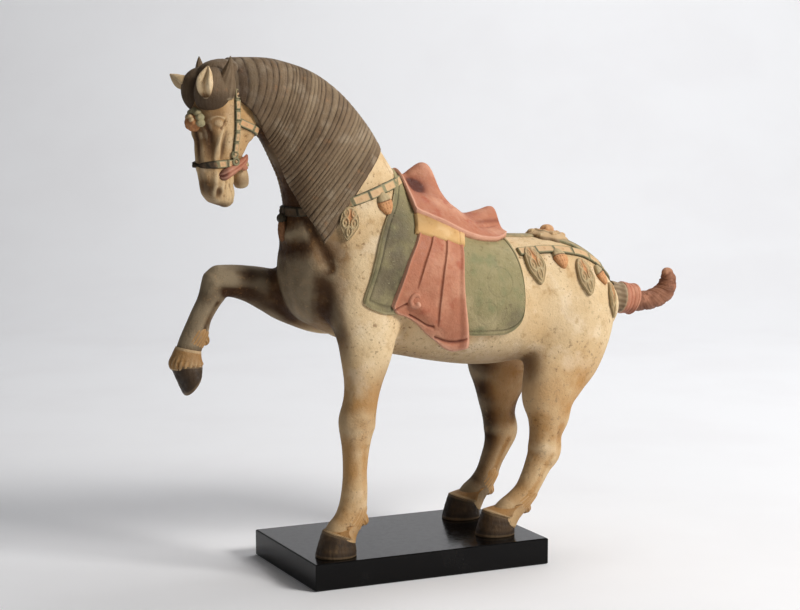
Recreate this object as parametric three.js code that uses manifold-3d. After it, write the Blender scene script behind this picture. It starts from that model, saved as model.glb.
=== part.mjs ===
// A saddled and harnessed horse in painted pottery, prancing with its right foreleg raised, on a low wooden plinth.
// Millimetres, +Z up. The origin is the centre of the plinth's underside, the horse faces -X and its left side is -Y.
// The horse is one moulded piece: its limbs, harness and saddlery are tubes and covers joined into one solid.
import * as THREE from "three";
import { LoftGeometry } from "three/addons/geometries/LoftGeometry.js";
import { mergeVertices } from "three/addons/utils/BufferGeometryUtils.js";
import Module from "manifold-3d";

const wasm = await Module();
wasm.setup();

// Driving dimensions.
const PLINTH = { length: 285, width: 180, height: 30, edge: 1.2 };
const HOOF = { length: 46, width: 40, heel: 17, toe: 29 };
const MANE_PROUD = 5; // how far the mane's surface stands off the neck
const CLOTH_PROUD = 4; // the saddle cloth, off the barrel
const SKIRT_PROUD = 9; // the folded cloth over it
const STRAP_PROUD = 3; // harness straps and pendants
const NEAR = -1; // the horse's left side, -Y
const FAR = 1;

// Stations run along a limb: x, y, z of the centre, half depth in the plane of the run, half width across it.
const TRUNK = [
  [-112, 0, 334, 58, 50],
  [-85, 0, 336, 75, 63],
  [-45, 0, 336, 87, 70],
  [0, 0, 327, 91, 75],
  [50, 0, 307, 81, 78],
  [100, 0, 295, 75, 79],
  [150, 0, 296, 71, 77],
  [195, 0, 299, 64, 72],
  [232, 0, 286, 48, 60],
  [256, 0, 277, 34, 44],
];
const NECK = [
  [-66, 0, 350, 74, 52],
  [-67, 0, 390, 79, 57],
  [-78, 0, 430, 66, 44],
  [-92, 0, 462, 58, 36],
  [-113, 0, 492, 53.5, 32],
  [-134, 0, 512, 48, 28.5],
  [-158, 0, 524, 41, 26],
  [-182, 0, 528, 38, 26],
];
const NEAR_FORELEG = [
  [-72, -42, 345, 46, 26],
  [-70, -48, 300, 40, 26],
  [-66, -54, 268, 35.5, 25.5],
  [-70, -57, 235, 26.5, 22],
  [-74, -58, 205, 20.5, 18.5],
  [-80, -59, 176, 20.5, 18.5],
  [-82, -60, 148, 15.5, 15],
  [-83, -60, 123, 13.5, 13],
  [-84, -61, 100, 14.5, 13.5],
  [-87, -61, 79, 16, 14],
  [-94, -62, 65, 16, 15],
  [-101, -62, 54, 18, 17],
  [-104, -62, 42, 19, 17],
];
const NEAR_HIND_LEG = [
  [205, -36, 318, 50, 34],
  [196, -42, 275, 56, 36],
  [186, -46, 237, 50, 33],
  [173, -49, 210, 41, 29],
  [164, -50, 186, 34, 26],
  [163, -51, 163, 25.5, 21],
  [160, -51, 142, 19.5, 16.5],
  [158, -51, 122, 20, 17],
  [151, -51, 108, 16, 14.5],
  [143, -51, 92, 14, 13.5],
  [135, -50, 77, 13.5, 13],
  [124, -49, 65, 14.5, 14],
  [112, -48, 54, 16, 16],
  [105, -48, 42, 17, 16],
];
const FAR_HIND_LEG = [
  [195, 36, 318, 50, 34],
  [183, 42, 275, 56, 36],
  [163, 46, 237, 53, 33],
  [155, 48, 211, 46.5, 29],
  [153, 49, 189, 35, 26],
  [151, 49, 168, 25, 21],
  [152, 49, 149, 20, 17],
  [155, 49, 130, 21, 17.5],
  [150, 48, 113, 16.5, 14.5],
  [143, 48, 97, 14, 12.5],
  [136, 47, 81, 13.5, 12.5],
  [126, 46, 67, 14, 14],
  [115, 45, 56, 16, 16],
  [108, 45, 43, 17, 16],
];
const RAISED_FOREARM = [
  [-48, 26, 318, 42, 24],
  [-78, 34, 301, 42, 27],
  [-112, 42, 302, 32, 24],
  [-139, 45, 312, 25.5, 20],
  [-164, 46, 320.5, 20.5, 17],
  [-186, 46, 325, 18, 16.5],
  [-200, 46, 325, 17.5, 16],
];
const RAISED_CANNON = [
  [-202, 46, 324, 17, 16],
  [-211, 46, 305, 13.5, 12.5],
  [-221, 46, 287, 12.5, 11.5],
  [-227, 46, 271, 14, 12.5],
  [-233, 46, 258, 14, 13],
  [-237, 46, 246, 14.5, 13],
  [-238, 46, 236, 18, 16],
  [-238, 46, 228, 16, 15],
];
const TAIL = [
  [255, 0, 290, 19, 19],
  [280, 0, 289, 18.5, 18.5],
  [300, 0, 286.5, 16.5, 16.5],
  [318, 0, 282.5, 12, 12],
  [337, 0, 285, 12, 12],
  [352, 0, 293, 12, 12],
  [357, 0, 306, 10, 10],
  [355, 0, 315, 7, 7],
];

// The head hangs from the poll. It is made facing -X and then turned to the near side.
const POLL = new THREE.Vector3(-190, 0, 535);
const HEAD_TURN = 14; // degrees, to the near side
// Stations down the head: front (forward of the poll), side, down, half depth, half width.
const SKULL = [
  [21, 0, -20, 27, 19],
  [21, 0, 0, 33, 22],
  [23.5, 0, 20, 34, 22],
  [24.5, 0, 40, 33.5, 21.5],
  [26.5, 0, 55, 30, 19],
  [30, 0, 68, 25, 17],
  [32, 0, 81, 21, 15.5],
  [31.5, 0, 93, 19.5, 15],
  [29.5, 0, 104, 18, 14],
  [22.5, 0, 114, 12.5, 12.5],
  [18.5, 0, 120, 7, 9],
];
const LOWER_JAW = [
  [12, 0, 64, 10, 12],
  [5, 0, 80, 9, 10],
  [0, 0, 93, 9, 9],
  [-1.5, 0, 103, 7, 8],
];

// A ring of an oval section: centre, direction of the run, half depth and half width; full below 1 squares it.
function ring(centre, along, deep, wide, sides, full) {
  const across = new THREE.Vector3(0, 1, 0).addScaledVector(along, -along.y).normalize();
  const back = new THREE.Vector3().crossVectors(along, across);
  const swell = (v) => Math.sign(v) * Math.abs(v) ** full;
  return Array.from({ length: sides }, (_, i) => {
    const turn = (-2 * Math.PI * i) / sides;
    return centre
      .clone()
      .addScaledVector(back, deep * swell(Math.cos(turn)))
      .addScaledVector(across, wide * swell(Math.sin(turn)));
  });
}

// A smooth tube through stations, with its ends closed flat or domed by the bulge given; proud swells it all over.
function tube(stations, { rings = 14, sides = 12, domes = [0, 0], proud = 0, full = 1 } = {}) {
  const path = new THREE.CatmullRomCurve3(
    stations.map(([x, y, z]) => new THREE.Vector3(x, y, z)),
    false,
    "catmullrom",
  );
  const size = new THREE.CatmullRomCurve3(
    stations.map(([, , , deep, wide]) => new THREE.Vector3(deep, wide, 0)),
    false,
    "catmullrom",
  );
  const sections = [];
  const addRing = (t, beyond, share) => {
    const along = path.getTangent(t);
    const half = size.getPoint(t).addScalar(proud);
    const centre = path.getPoint(t).addScaledVector(along, beyond);
    sections.push(ring(centre, along, half.x * share, half.y * share, sides, full));
  };
  const domeAngles = [75, 40].map(THREE.MathUtils.degToRad);
  if (domes[0]) domeAngles.forEach((a) => addRing(0, -(domes[0] + proud) * Math.sin(a), Math.cos(a)));
  for (let i = 0; i <= rings; i++) addRing(i / rings, 0, 1);
  if (domes[1]) {
    domeAngles.reverse().forEach((a) => addRing(1, (domes[1] + proud) * Math.sin(a), Math.cos(a)));
  }
  return solid(new LoftGeometry(sections, { capStart: true, capEnd: true }));
}

// A closed geometry as a solid that can be joined and cut.
function solid(geometry) {
  const bare = new THREE.BufferGeometry().setAttribute("position", geometry.getAttribute("position"));
  if (geometry.index) bare.setIndex(geometry.index);
  const merged = mergeVertices(bare, 1e-4);
  return new wasm.Manifold(
    new wasm.Mesh({
      numProp: 3,
      vertProperties: merged.getAttribute("position").array,
      triVerts: new Uint32Array(merged.index.array),
    }),
  );
}

function join(solids) {
  return solids.reduce((whole, next) => whole.add(next));
}

function mesh(name, shape, material) {
  const { vertProperties, triVerts } = shape.getMesh();
  const geometry = new THREE.BufferGeometry()
    .setAttribute("position", new THREE.BufferAttribute(vertProperties, 3))
    .setIndex(new THREE.BufferAttribute(triVerts, 1));
  geometry.computeVertexNormals();
  const made = new THREE.Mesh(geometry, material);
  made.name = name;
  return made;
}

// A slab with the given side outline, in x and z, that reaches across from y0 to y1.
function sideSlab(outline, y0, y1) {
  const shape = new THREE.Shape(outline.map(([x, z]) => new THREE.Vector2(x, z)));
  const slab = new THREE.ExtrudeGeometry(shape, { depth: y1 - y0, bevelEnabled: false });
  slab.rotateX(Math.PI / 2).translate(0, y1, 0);
  return solid(slab);
}

function ball(centre, radii, segments = 7) {
  const geometry = new THREE.SphereGeometry(1, segments, Math.round(segments * 0.7));
  geometry.scale(...radii).translate(...centre);
  return solid(geometry);
}

// The tubes of the trunk, swelled by proud; cloths and straps are cut from a swelled copy.
function trunk(proud) {
  return join([
    tube(TRUNK, { rings: 12, sides: 18, domes: [32, 18], proud }),
    tube(NECK, { rings: 9, sides: 18, proud }),
    tube(NEAR_FORELEG, { rings: 18, domes: [20, 0], proud }),
    tube(NEAR_HIND_LEG, { rings: 18, proud }),
    tube(FAR_HIND_LEG, { rings: 18, proud }),
    tube(RAISED_FOREARM, { rings: 9, domes: [0, 14], proud }),
  ]);
}

// A hoof between two ovals seen from the side: the sole's and the coronet's, each from toe to heel as [x, z].
function hoof(y, sole, coronet) {
  const sides = 12;
  const levels = [0, 0.12, 0.5, 1];
  const sections = levels.map((t) => {
    const toe = new THREE.Vector2(...sole[0]).lerp(new THREE.Vector2(...coronet[0]), t);
    const heel = new THREE.Vector2(...sole[1]).lerp(new THREE.Vector2(...coronet[1]), t);
    const width = (HOOF.width / 2) * (t === 0 ? 0.96 : 1 - 0.17 * t);
    return Array.from({ length: sides }, (_, i) => {
      const turn = (2 * Math.PI * i) / sides;
      const { x, y: z } = toe.clone().lerp(heel, (1 + Math.cos(turn)) / 2);
      return new THREE.Vector3(x, y + width * Math.sin(turn), z);
    });
  });
  return solid(new LoftGeometry(sections, { capStart: true, capEnd: true }));
}

function standingHoof(x, y) {
  const ground = PLINTH.height;
  const sole = [[x - HOOF.length / 2, ground], [x + HOOF.length / 2, ground]];
  const coronet = [[x - HOOF.length / 2 + 9, ground + HOOF.toe], [x + HOOF.length / 2 - 2, ground + HOOF.heel]];
  return hoof(y, sole, coronet);
}

function fetlockTuft([x, y, z]) {
  return tube([[x - 12, y, z + 12, 9, 8], [x - 5, y, z + 5, 8, 7], [x, y, z, 4, 4]], { rings: 3, sides: 8 });
}

function feet() {
  return join([
    tube(RAISED_CANNON, { domes: [12, 0] }),
    standingHoof(-107, -62),
    standingHoof(97, -47),
    standingHoof(100, 45),
    hoof(46, [[-241, 200], [-223, 225]], [[-257, 236], [-221, 232]]),
    fetlockTuft([-73, -61, 63]),
    fetlockTuft([136, -50, 54]),
    fetlockTuft([139, 46, 56]),
    fetlockTuft([-217, 46, 258]),
  ]);
}

// Head stations are given as front, side, down; this places them in the frame, before the head's turn.
function fromPoll([front, side, down, ...sizes]) {
  return [POLL.x - front, POLL.y - side, POLL.z - down, ...sizes];
}

function headTube(stations, options) {
  return tube(stations.map(fromPoll), options);
}

const SKULL_TUBE = { rings: 10, sides: 12, domes: [12, 4], full: 0.72 };

// A strap round the head is what a slab of the given side outline, in front and down, holds of the swelled skull.
function headStrap(outline) {
  const inFrame = outline.map(([front, down]) => [POLL.x - front, POLL.z - down]);
  return headTube(SKULL, { ...SKULL_TUBE, proud: STRAP_PROUD }).intersect(sideSlab(inFrame, -60, 60));
}

function headBall(centre, radii, segments) {
  return ball(fromPoll(centre), radii, segments);
}

// What the head has on each side: a lobe of the forelock, an ear, a pointed tuft, an eye and the bit's cheekpiece.
function sideOfHead(side) {
  const ear = side > 0 ? [66, -24] : [66, -16];
  return [
    headBall([42, 13 * side, 0], [19, 17, 24], 12),
    headTube([[47, 15 * side, 6, 5, 5], [54, 22 * side, -6, 10, 8], [ear[0], 33 * side, ear[1], 1.5, 1.5]], {
      rings: 5,
      sides: 8,
    }),
    headTube([[33, 19 * side, 2, 12, 9], [32, 25 * side, -16, 7, 6], [31, 28 * side, -36, 1.2, 1.2]], {
      rings: 5,
      sides: 8,
    }),
    headBall([41, 17 * side, 33], [7, 6, 6]),
    headTube([[36, 15 * side, 89, 5, 4], [20, 16 * side, 80, 5, 4], [2, 13 * side, 71, 2, 2]], {
      rings: 5,
      sides: 8,
      domes: [3, 0],
    }),
  ];
}

function head() {
  const noseband = [[70, 78], [70, 87], [-10, 76], [-10, 67]];
  const cheekStrap = [[24, 0], [15, 0], [15, 78], [24, 78]];
  const throatStrap = [[17, 28], [17, 37], [-20, 60], [-20, 51]];
  const facing = join([
    headTube(SKULL, SKULL_TUBE),
    headTube(LOWER_JAW, { rings: 5, sides: 10, domes: [0, 4] }),
    headBall([57, 0, 31], [8, 8, 8]),
    headStrap(noseband),
    headStrap(cheekStrap),
    headStrap(throatStrap),
    ...sideOfHead(1),
    ...sideOfHead(-1),
  ]);
  return facing
    .translate([-POLL.x, 0, 0])
    .rotate([0, 0, HEAD_TURN])
    .translate([POLL.x, 0, 0]);
}

// The mane lies on both sides of the neck from the poll to a point above the shoulder.
function mane() {
  const outline = [
    [-212, 545],
    [-191, 511],
    [-158, 455],
    [-107, 368],
    [-82, 402],
    [-62, 426],
    [-48, 450],
    [-42, 470],
    [-38, 500],
    [-60, 600],
    [-212, 600],
  ];
  return tube(NECK, { rings: 8, sides: 16, domes: [0, 16], proud: MANE_PROUD }).intersect(
    sideSlab(outline, -80, 80),
  );
}

function saddleCloth() {
  const outline = [
    [4, 470],
    [-7, 428],
    [-30, 416],
    [-49, 374],
    [-77, 308],
    [-73, 303],
    [-31, 290],
    [15, 271],
    [54, 264],
    [98, 264],
    [119, 271],
    [126, 300],
    [123, 339],
    [126, 470],
  ];
  return trunk(CLOTH_PROUD).intersect(sideSlab(outline, -110, 110));
}

function skirt() {
  const outline = [
    [-2, 395],
    [-36, 303],
    [-21, 293],
    [15, 267],
    [34, 253],
    [55, 251],
    [58, 259],
    [52, 304],
    [51, 375],
  ];
  return trunk(SKIRT_PROUD).intersect(sideSlab(outline, -110, 110));
}

// The saddle's sections run back along the horse: x, crest height, lower edge height, half width.
const SADDLE = [
  [0, 433, 392, 52],
  [12, 445, 388, 56],
  [25, 453, 384, 59],
  [35, 448, 380, 60],
  [44, 425, 376, 60],
  [57, 404, 371, 58],
  [76, 394, 366, 52],
  [97, 398, 364, 44],
  [111, 402, 365, 34],
  [119, 395, 368, 24],
  [122, 379, 366, 18],
];
function saddle() {
  const spine = new THREE.CatmullRomCurve3(
    SADDLE.map(([x, crest, edge]) => new THREE.Vector3(x, crest, edge)),
    false,
    "catmullrom",
  );
  const widths = new THREE.CatmullRomCurve3(
    SADDLE.map((row) => new THREE.Vector3(row[3], 0, 0)),
    false,
    "catmullrom",
  );
  const rings = 16;
  const arc = 10;
  const sections = [];
  for (let i = 0; i <= rings; i++) {
    const { x, y: crest, z: edge } = spine.getPoint(i / rings);
    const width = widths.getPoint(i / rings).x;
    const section = [new THREE.Vector3(x, -width * 0.7, edge - 20), new THREE.Vector3(x, width * 0.7, edge - 20)];
    for (let k = 0; k <= arc; k++) {
      const across = Math.cos((Math.PI * k) / arc);
      const drop = Math.abs(across) ** 1.6;
      section.push(new THREE.Vector3(x, width * across, crest - (crest - edge) * drop));
    }
    sections.push(section);
  }
  return solid(new LoftGeometry(sections, { capStart: true, capEnd: true }));
}

// Two straps go round the horse: one over the chest in front of the saddle, one over the croup and under the tail.
function harness() {
  const breast = [[-8, 441], [-8, 431], [-61, 416], [-160, 398], [-160, 408], [-61, 426]];
  const crupper = [[126, 350], [126, 358], [190, 350], [232, 340], [300, 302], [300, 294], [230, 331], [190, 342]];
  const band = (outline) => trunk(STRAP_PROUD).intersect(sideSlab(outline, -110, 110));
  return join([band(breast), band(crupper), ...hangings(NEAR), ...hangings(FAR)]);
}

// Pendants as x, distance out from the middle, height, half width and half drop.
const PENDANTS = [
  [-38, 55, 411, 6, 12],
  [-82, 43, 385, 9, 18],
  [-132, 28, 384, 6, 14],
  [139, 65, 337, 11, 18],
  [170, 58, 344, 8, 9],
  [204, 61, 322, 10, 18],
  [237, 43, 317, 6, 14],
  [264, 26, 284, 6, 17],
];
function hangings(side) {
  return PENDANTS.map(([x, out, z, wide, drop]) => ball([x, out * side, z], [wide, 8, drop]));
}

function croupRosette() {
  return join([
    ball([188, 0, 359], [22, 26, 12], 10),
    ball([188, 0, 370], [8, 8, 6]),
    ball([170, 8, 364], [6, 6, 6]),
    ball([204, -12, 361], [6, 6, 6]),
  ]);
}

function plinth() {
  const { length, width, height, edge } = PLINTH;
  const outline = new THREE.Shape()
    .moveTo(-length / 2 + edge, -width / 2 + edge)
    .lineTo(length / 2 - edge, -width / 2 + edge)
    .lineTo(length / 2 - edge, width / 2 - edge)
    .lineTo(-length / 2 + edge, width / 2 - edge);
  return solid(
    new THREE.ExtrudeGeometry(outline, {
      depth: height - 2 * edge,
      bevelThickness: edge,
      bevelSize: edge,
      bevelSegments: 1,
    }).translate(0, 0, edge),
  );
}

function horse() {
  return join([
    trunk(0),
    feet(),
    head(),
    mane(),
    saddleCloth(),
    skirt(),
    saddle(),
    harness(),
    croupRosette(),
    tube(TAIL, { rings: 14, domes: [0, 5] }),
  ]);
}

const pottery = new THREE.MeshStandardMaterial({ color: 0xc9ac7f, roughness: 0.75, metalness: 0 });
const lacquer = new THREE.MeshStandardMaterial({ color: 0x0b0a0a, roughness: 0.25, metalness: 0 });

const root = new THREE.Group();
root.add(mesh("horse", horse(), pottery), mesh("plinth", plinth(), lacquer));

export default root;
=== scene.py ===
import bpy
import numpy as np
from mathutils import Matrix, Vector
from mathutils.bvhtree import BVHTree


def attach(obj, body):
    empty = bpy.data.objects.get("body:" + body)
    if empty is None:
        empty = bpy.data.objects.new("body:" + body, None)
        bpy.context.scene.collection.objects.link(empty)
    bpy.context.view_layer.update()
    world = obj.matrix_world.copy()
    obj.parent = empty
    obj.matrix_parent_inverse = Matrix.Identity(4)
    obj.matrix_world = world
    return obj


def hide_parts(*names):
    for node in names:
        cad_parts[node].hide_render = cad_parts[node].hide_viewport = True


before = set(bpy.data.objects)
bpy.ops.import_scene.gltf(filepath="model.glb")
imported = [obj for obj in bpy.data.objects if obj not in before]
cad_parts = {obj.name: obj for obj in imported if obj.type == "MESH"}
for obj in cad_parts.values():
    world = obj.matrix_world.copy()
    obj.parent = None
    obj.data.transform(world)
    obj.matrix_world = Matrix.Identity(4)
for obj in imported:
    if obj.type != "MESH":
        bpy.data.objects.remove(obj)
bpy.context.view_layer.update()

# ---------------------------------------------------------------------------------------------------------
# The body: trunk, neck and four legs of the moulded horse, buff earthenware under a worn cream slip.
# Each limb is a smooth oval tube through its joints; all are worked into one skin and then modelled over.
# ---------------------------------------------------------------------------------------------------------
NEAR, FAR = -1, 1  # the horse's left side is -Y

# Stations along a limb: x, y, z of the centre, half depth in the plane of the run, half width across it.
TRUNK = [
    (-112, 0, 334, 58, 50), (-85, 0, 336, 75, 63), (-45, 0, 336, 87, 70), (0, 0, 327, 91, 75),
    (50, 0, 307, 81, 78), (100, 0, 295, 75, 79), (150, 0, 296, 71, 77), (195, 0, 299, 64, 72),
    (232, 0, 286, 48, 60), (256, 0, 277, 34, 44),
]
NECK = [
    (-66, 0, 350, 74, 52), (-67, 0, 390, 79, 57), (-78, 0, 430, 66, 44), (-92, 0, 462, 58, 36),
    (-113, 0, 492, 53.5, 32), (-134, 0, 512, 48, 28.5), (-158, 0, 524, 41, 26), (-182, 0, 528, 38, 26),
]
NEAR_FORELEG = [
    (-72, -42, 345, 46, 26), (-70, -48, 300, 40, 26), (-66, -54, 268, 35.5, 25.5), (-70, -57, 235, 26.5, 22),
    (-74, -58, 205, 20.5, 18.5), (-80, -59, 176, 20.5, 18.5), (-82, -60, 148, 15.5, 15),
    (-83, -60, 123, 13.5, 13),
    (-84, -61, 100, 14.5, 13.5), (-87, -61, 79, 16, 14), (-94, -62, 65, 16, 15), (-101, -62, 54, 18, 17),
    (-104, -62, 42, 19, 17),
]
NEAR_HIND_LEG = [
    (205, -36, 318, 50, 34), (196, -42, 275, 56, 36), (186, -46, 237, 50, 33), (173, -49, 210, 41, 29),
    (164, -50, 186, 34, 26), (163, -51, 163, 25.5, 21), (160, -51, 142, 19.5, 16.5), (158, -51, 122, 20, 17),
    (151, -51, 108, 16, 14.5), (143, -51, 92, 14, 13.5), (135, -50, 77, 13.5, 13), (124, -49, 65, 14.5, 14),
    (112, -48, 54, 16, 16), (105, -48, 42, 17, 16),
]
FAR_HIND_LEG = [
    (195, 36, 318, 50, 34), (183, 42, 275, 56, 36), (163, 46, 237, 53, 33), (155, 48, 211, 46.5, 29),
    (153, 49, 189, 35, 26), (151, 49, 168, 25, 21), (152, 49, 149, 20, 17), (155, 49, 130, 21, 17.5),
    (150, 48, 113, 16.5, 14.5), (143, 48, 97, 14, 12.5), (136, 47, 81, 13.5, 12.5), (126, 46, 67, 14, 14),
    (115, 45, 56, 16, 16), (108, 45, 43, 17, 16),
]
RAISED_FOREARM = [
    (-48, 26, 318, 42, 24), (-78, 34, 301, 42, 27), (-112, 42, 302, 32, 24), (-139, 45, 312, 25.5, 20),
    (-164, 46, 320.5, 20.5, 17), (-186, 46, 325, 18, 16.5), (-200, 46, 325, 17.5, 16),
]
RAISED_CANNON = [
    (-202, 46, 324, 17, 16), (-211, 46, 305, 13.5, 12.5), (-221, 46, 287, 12.5, 11.5),
    (-227, 46, 271, 14, 12.5),
    (-233, 46, 258, 14, 13), (-237, 46, 246, 14.5, 13), (-238, 46, 236, 18, 16), (-238, 46, 228, 16, 15),
]
LIMBS = [
    (TRUNK, (32, 18)), (NECK, (0, 0)), (NEAR_FORELEG, (20, 0)), (NEAR_HIND_LEG, (0, 0)),
    (FAR_HIND_LEG, (0, 0)), (RAISED_FOREARM, (0, 14)), (RAISED_CANNON, (12, 0)),
]


def through(rows, t):
    """Points at t, from 0 to 1, on the smooth curve through the rows."""
    rows = np.asarray(rows, float)
    p = np.vstack([2 * rows[0] - rows[1], rows, 2 * rows[-1] - rows[-2]])
    s = np.clip(t, 0, 1) * (len(rows) - 1)
    i = np.minimum(s.astype(int), len(rows) - 2)
    w = (s - i)[:, None]
    a, b, c, d = p[i], p[i + 1], p[i + 2], p[i + 3]
    return 0.5 * (2 * b + (c - a) * w + (2 * a - 5 * b + 4 * c - d) * w**2 + (3 * b - a - 3 * c + d) * w**3)


def unit(v):
    return v / np.maximum(np.linalg.norm(v, axis=-1, keepdims=True), 1e-9)


def sections(rows, t):
    """Centre, run, upward normal and the two half sizes of a limb at t."""
    at = through(rows, t)
    nudge = 1e-4
    run = unit(
        through(rows, np.clip(t + nudge, 0, 1))[:, :3] - through(rows, np.clip(t - nudge, 0, 1))[:, :3]
    )
    across = unit(np.array([0.0, 1.0, 0.0]) - run * run[:, 1:2])
    return at[:, :3], run, across, np.cross(run, across), at[:, 3:5]


def grid_faces(rows, columns, start=0, flip=False, closed=False):
    """Four-sided faces of a grid of points, row by row; closed ones join their last column to the first."""
    i, j = np.meshgrid(np.arange(rows - 1), np.arange(columns - (0 if closed else 1)), indexing="ij")
    k = (j + 1) % columns
    faces = np.stack([i * columns + j, i * columns + k, (i + 1) * columns + k, (i + 1) * columns + j], -1)
    faces = faces.reshape(-1, 4) + start
    return (faces[:, ::-1] if flip else faces).tolist()


def capped(rings, sides):
    """Faces of a stack of rings, closed by a point at each end that follows the rings' own points."""
    first, last, tip = 0, (rings - 1) * sides, rings * sides
    pairs = [(j, (j + 1) % sides) for j in range(sides)]
    faces = grid_faces(rings, sides, closed=True)
    faces += [(tip, first + b, first + a) for a, b in pairs]
    return faces + [(tip + 1, last + a, last + b) for a, b in pairs]


def tube(rows, rings, sides, bulge=(0, 0), full=1.0, proud=0.0, relief=None):
    """A closed tube through stations; relief(t, turn) gives how far each point stands off it."""
    dome = np.radians([84, 66, 48, 30, 14])
    t = np.linspace(0, 1, rings + 1)
    centre, run, across, back, half = sections(rows, t)
    half = half + proud
    share = np.ones(len(t))
    for end, size in ((0, bulge[0]), (-1, bulge[1])):
        if size:
            out = (size + proud) * np.sin(dome)[:, None] * run[end] * (1 if end else -1) + centre[end]
            order = slice(None) if end == 0 else slice(None, None, -1)
            stack = (
                lambda a, b: np.concatenate([a, b])
            ) if end == 0 else (lambda a, b: np.concatenate([b, a]))
            centre = stack(out[order], centre)
            share = stack(np.cos(dome)[order], share)
            t = stack(np.full(len(dome), t[end]), t)
            run, across, back, half = (
                stack(np.repeat(v[[end]], len(dome), 0), v) for v in (run, across, back, half)
            )
    turn = np.linspace(0, 2 * np.pi, sides, endpoint=False)
    c, s = (np.sign(f) * np.abs(f) ** full for f in (np.cos(turn), np.sin(turn)))
    lift = np.zeros((len(t), sides)) if relief is None else relief(t[:, None], turn[None, :])
    spoke = (
        back[:, None] * ((half[:, :1] + lift) * share[:, None] * c)[..., None]
        + across[:, None] * ((half[:, 1:] + lift) * share[:, None] * s)[..., None]
    )
    rings_at = centre[:, None] + spoke
    points = np.vstack([rings_at.reshape(-1, 3), centre[0], centre[-1]])
    return points, capped(len(t), sides)


def facing_out(points, faces):
    """The faces of one closed shape, turned outwards: the shape then holds a positive volume."""
    points, volume = np.asarray(points, float) - np.mean(points, axis=0), 0.0
    for size in sorted({len(face) for face in faces}):
        corners = points[np.array([face for face in faces if len(face) == size])]
        for k in range(1, size - 1):
            volume += (corners[:, 0] * np.cross(corners[:, k], corners[:, k + 1])).sum()
    return faces if volume > 0 else [tuple(face)[::-1] for face in faces]


def weld(parts):
    """Several shapes as one list of points and faces."""
    points, faces, start = [], [], 0
    for p, f in parts:
        points.append(p)
        faces += [tuple(i + start for i in face) for face in facing_out(p, f)]
        start += len(p)
    return np.vstack(points), faces


def made(name, points, faces):
    """A piece from points in millimetres, its faces turned outwards and shaded smooth."""
    mesh = bpy.data.meshes.new(name)
    mesh.from_pydata((np.asarray(points) * 0.001).tolist(), [], facing_out(points, faces))
    mesh.polygons.foreach_set("use_smooth", np.ones(len(mesh.polygons), bool))
    piece = bpy.data.objects.new(name, mesh)
    bpy.context.scene.collection.objects.link(piece)
    return piece


def settle(piece, kind, **values):
    """Runs one modifier on a piece and keeps its result."""
    change = piece.modifiers.new(kind.lower(), kind)
    for key, value in values.items():
        setattr(change, key, value)
    graph = bpy.context.evaluated_depsgraph_get()
    mesh = bpy.data.meshes.new_from_object(piece.evaluated_get(graph))
    piece.modifiers.clear()
    piece.data = mesh
    mesh.polygons.foreach_set("use_smooth", np.ones(len(mesh.polygons), bool))


def thin_out(piece, triangles):
    """Drops the points that flat stretches of a piece don't need."""
    settle(piece, "DECIMATE", ratio=min(1.0, triangles / (2 * len(piece.data.polygons))))


def read(piece, what="vertices", field="co", width=3):
    """A mesh's values as rows of numbers."""
    values = np.empty(len(getattr(piece.data, what)) * width, np.int32 if field == "vertices" else np.float32)
    getattr(piece.data, what).foreach_get(field, values)
    return values.reshape(-1, width)


def points_of(piece):
    return read(piece).astype(float) * 1000


def normals_of(piece):
    return read(piece, "vertex_normals", "vector").astype(float)


def move_to(piece, points):
    piece.data.vertices.foreach_set("co", (points * 0.001).astype(np.float32).ravel())
    piece.data.update()


def relax(points, edges, share, times):
    """Draws each point towards its neighbours, by its share, that many times."""
    a, b = edges.T
    count = np.maximum(np.bincount(edges.ravel(), minlength=len(points)), 1)[:, None]
    share = np.broadcast_to(np.asarray(share, float), len(points))[:, None] * 0.6
    for _ in range(times):
        total = [
            np.bincount(a, points[b, k], len(points)) + np.bincount(b, points[a, k], len(points))
            for k in range(3)
        ]
        points = points + share * (np.stack(total, 1) / count - points)
    return points


def rise(v, low, high):
    """0 below low, 1 above high and smooth between."""
    t = np.clip((v - low) / (high - low), 0, 1)
    return t * t * (3 - 2 * t)


def pushes(points, spots):
    """How far soft pushes move the skin: each spot is its x, y, z, its three radii and its height."""
    out = np.zeros(len(points))
    for x, y, z, rx, ry, rz, height in spots:
        gap = (points - (x, y, z)) / (rx, ry, rz)
        out += height * np.exp(-(gap**2).sum(1))
    return out


def scored(points, path, radius, depth):
    """A groove of that depth, or a ridge where it is negative, along a path."""
    path = np.asarray(path, float)
    line = through(path, np.linspace(0, 1, 12 * len(path)))
    near = np.full(len(points), 1e9)
    for p in line:
        near = np.minimum(near, ((points - p) ** 2).sum(1))
    return -depth * np.exp(-near / radius**2)


def mark(piece, name, values):
    """Keeps a value from 0 to 1 at every point for the finish to read."""
    layer = piece.data.attributes.new(name, "FLOAT", "POINT")
    layer.data.foreach_set("value", np.clip(values, 0, 1).astype(np.float32))


def mark_hollows(piece, reach=10, span=0.5, share=1.0):
    """Marks hollows and raised edges, where dirt stays and where slip rubs off."""
    points, edges = points_of(piece), read(piece, "edges", "vertices", 2)
    bend = ((relax(points, edges, 1.0, reach) - points) * normals_of(piece)).sum(1) / span
    bend = relax(np.repeat(bend[:, None], 3, 1), edges, 1.0, 3)[:, 0]
    mark(piece, "hollow", bend * share)
    mark(piece, "edge", -bend * share)


def tint(red, green, blue, light=1.0):
    """A colour as it looks, 0 to 255, turned into the shader's linear one."""
    c = np.array([red, green, blue]) / 255
    linear = np.where(c < 0.04045, c / 12.92, ((c + 0.055) / 1.055) ** 2.4) * light
    return (*linear.tolist(), 1.0)


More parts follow.
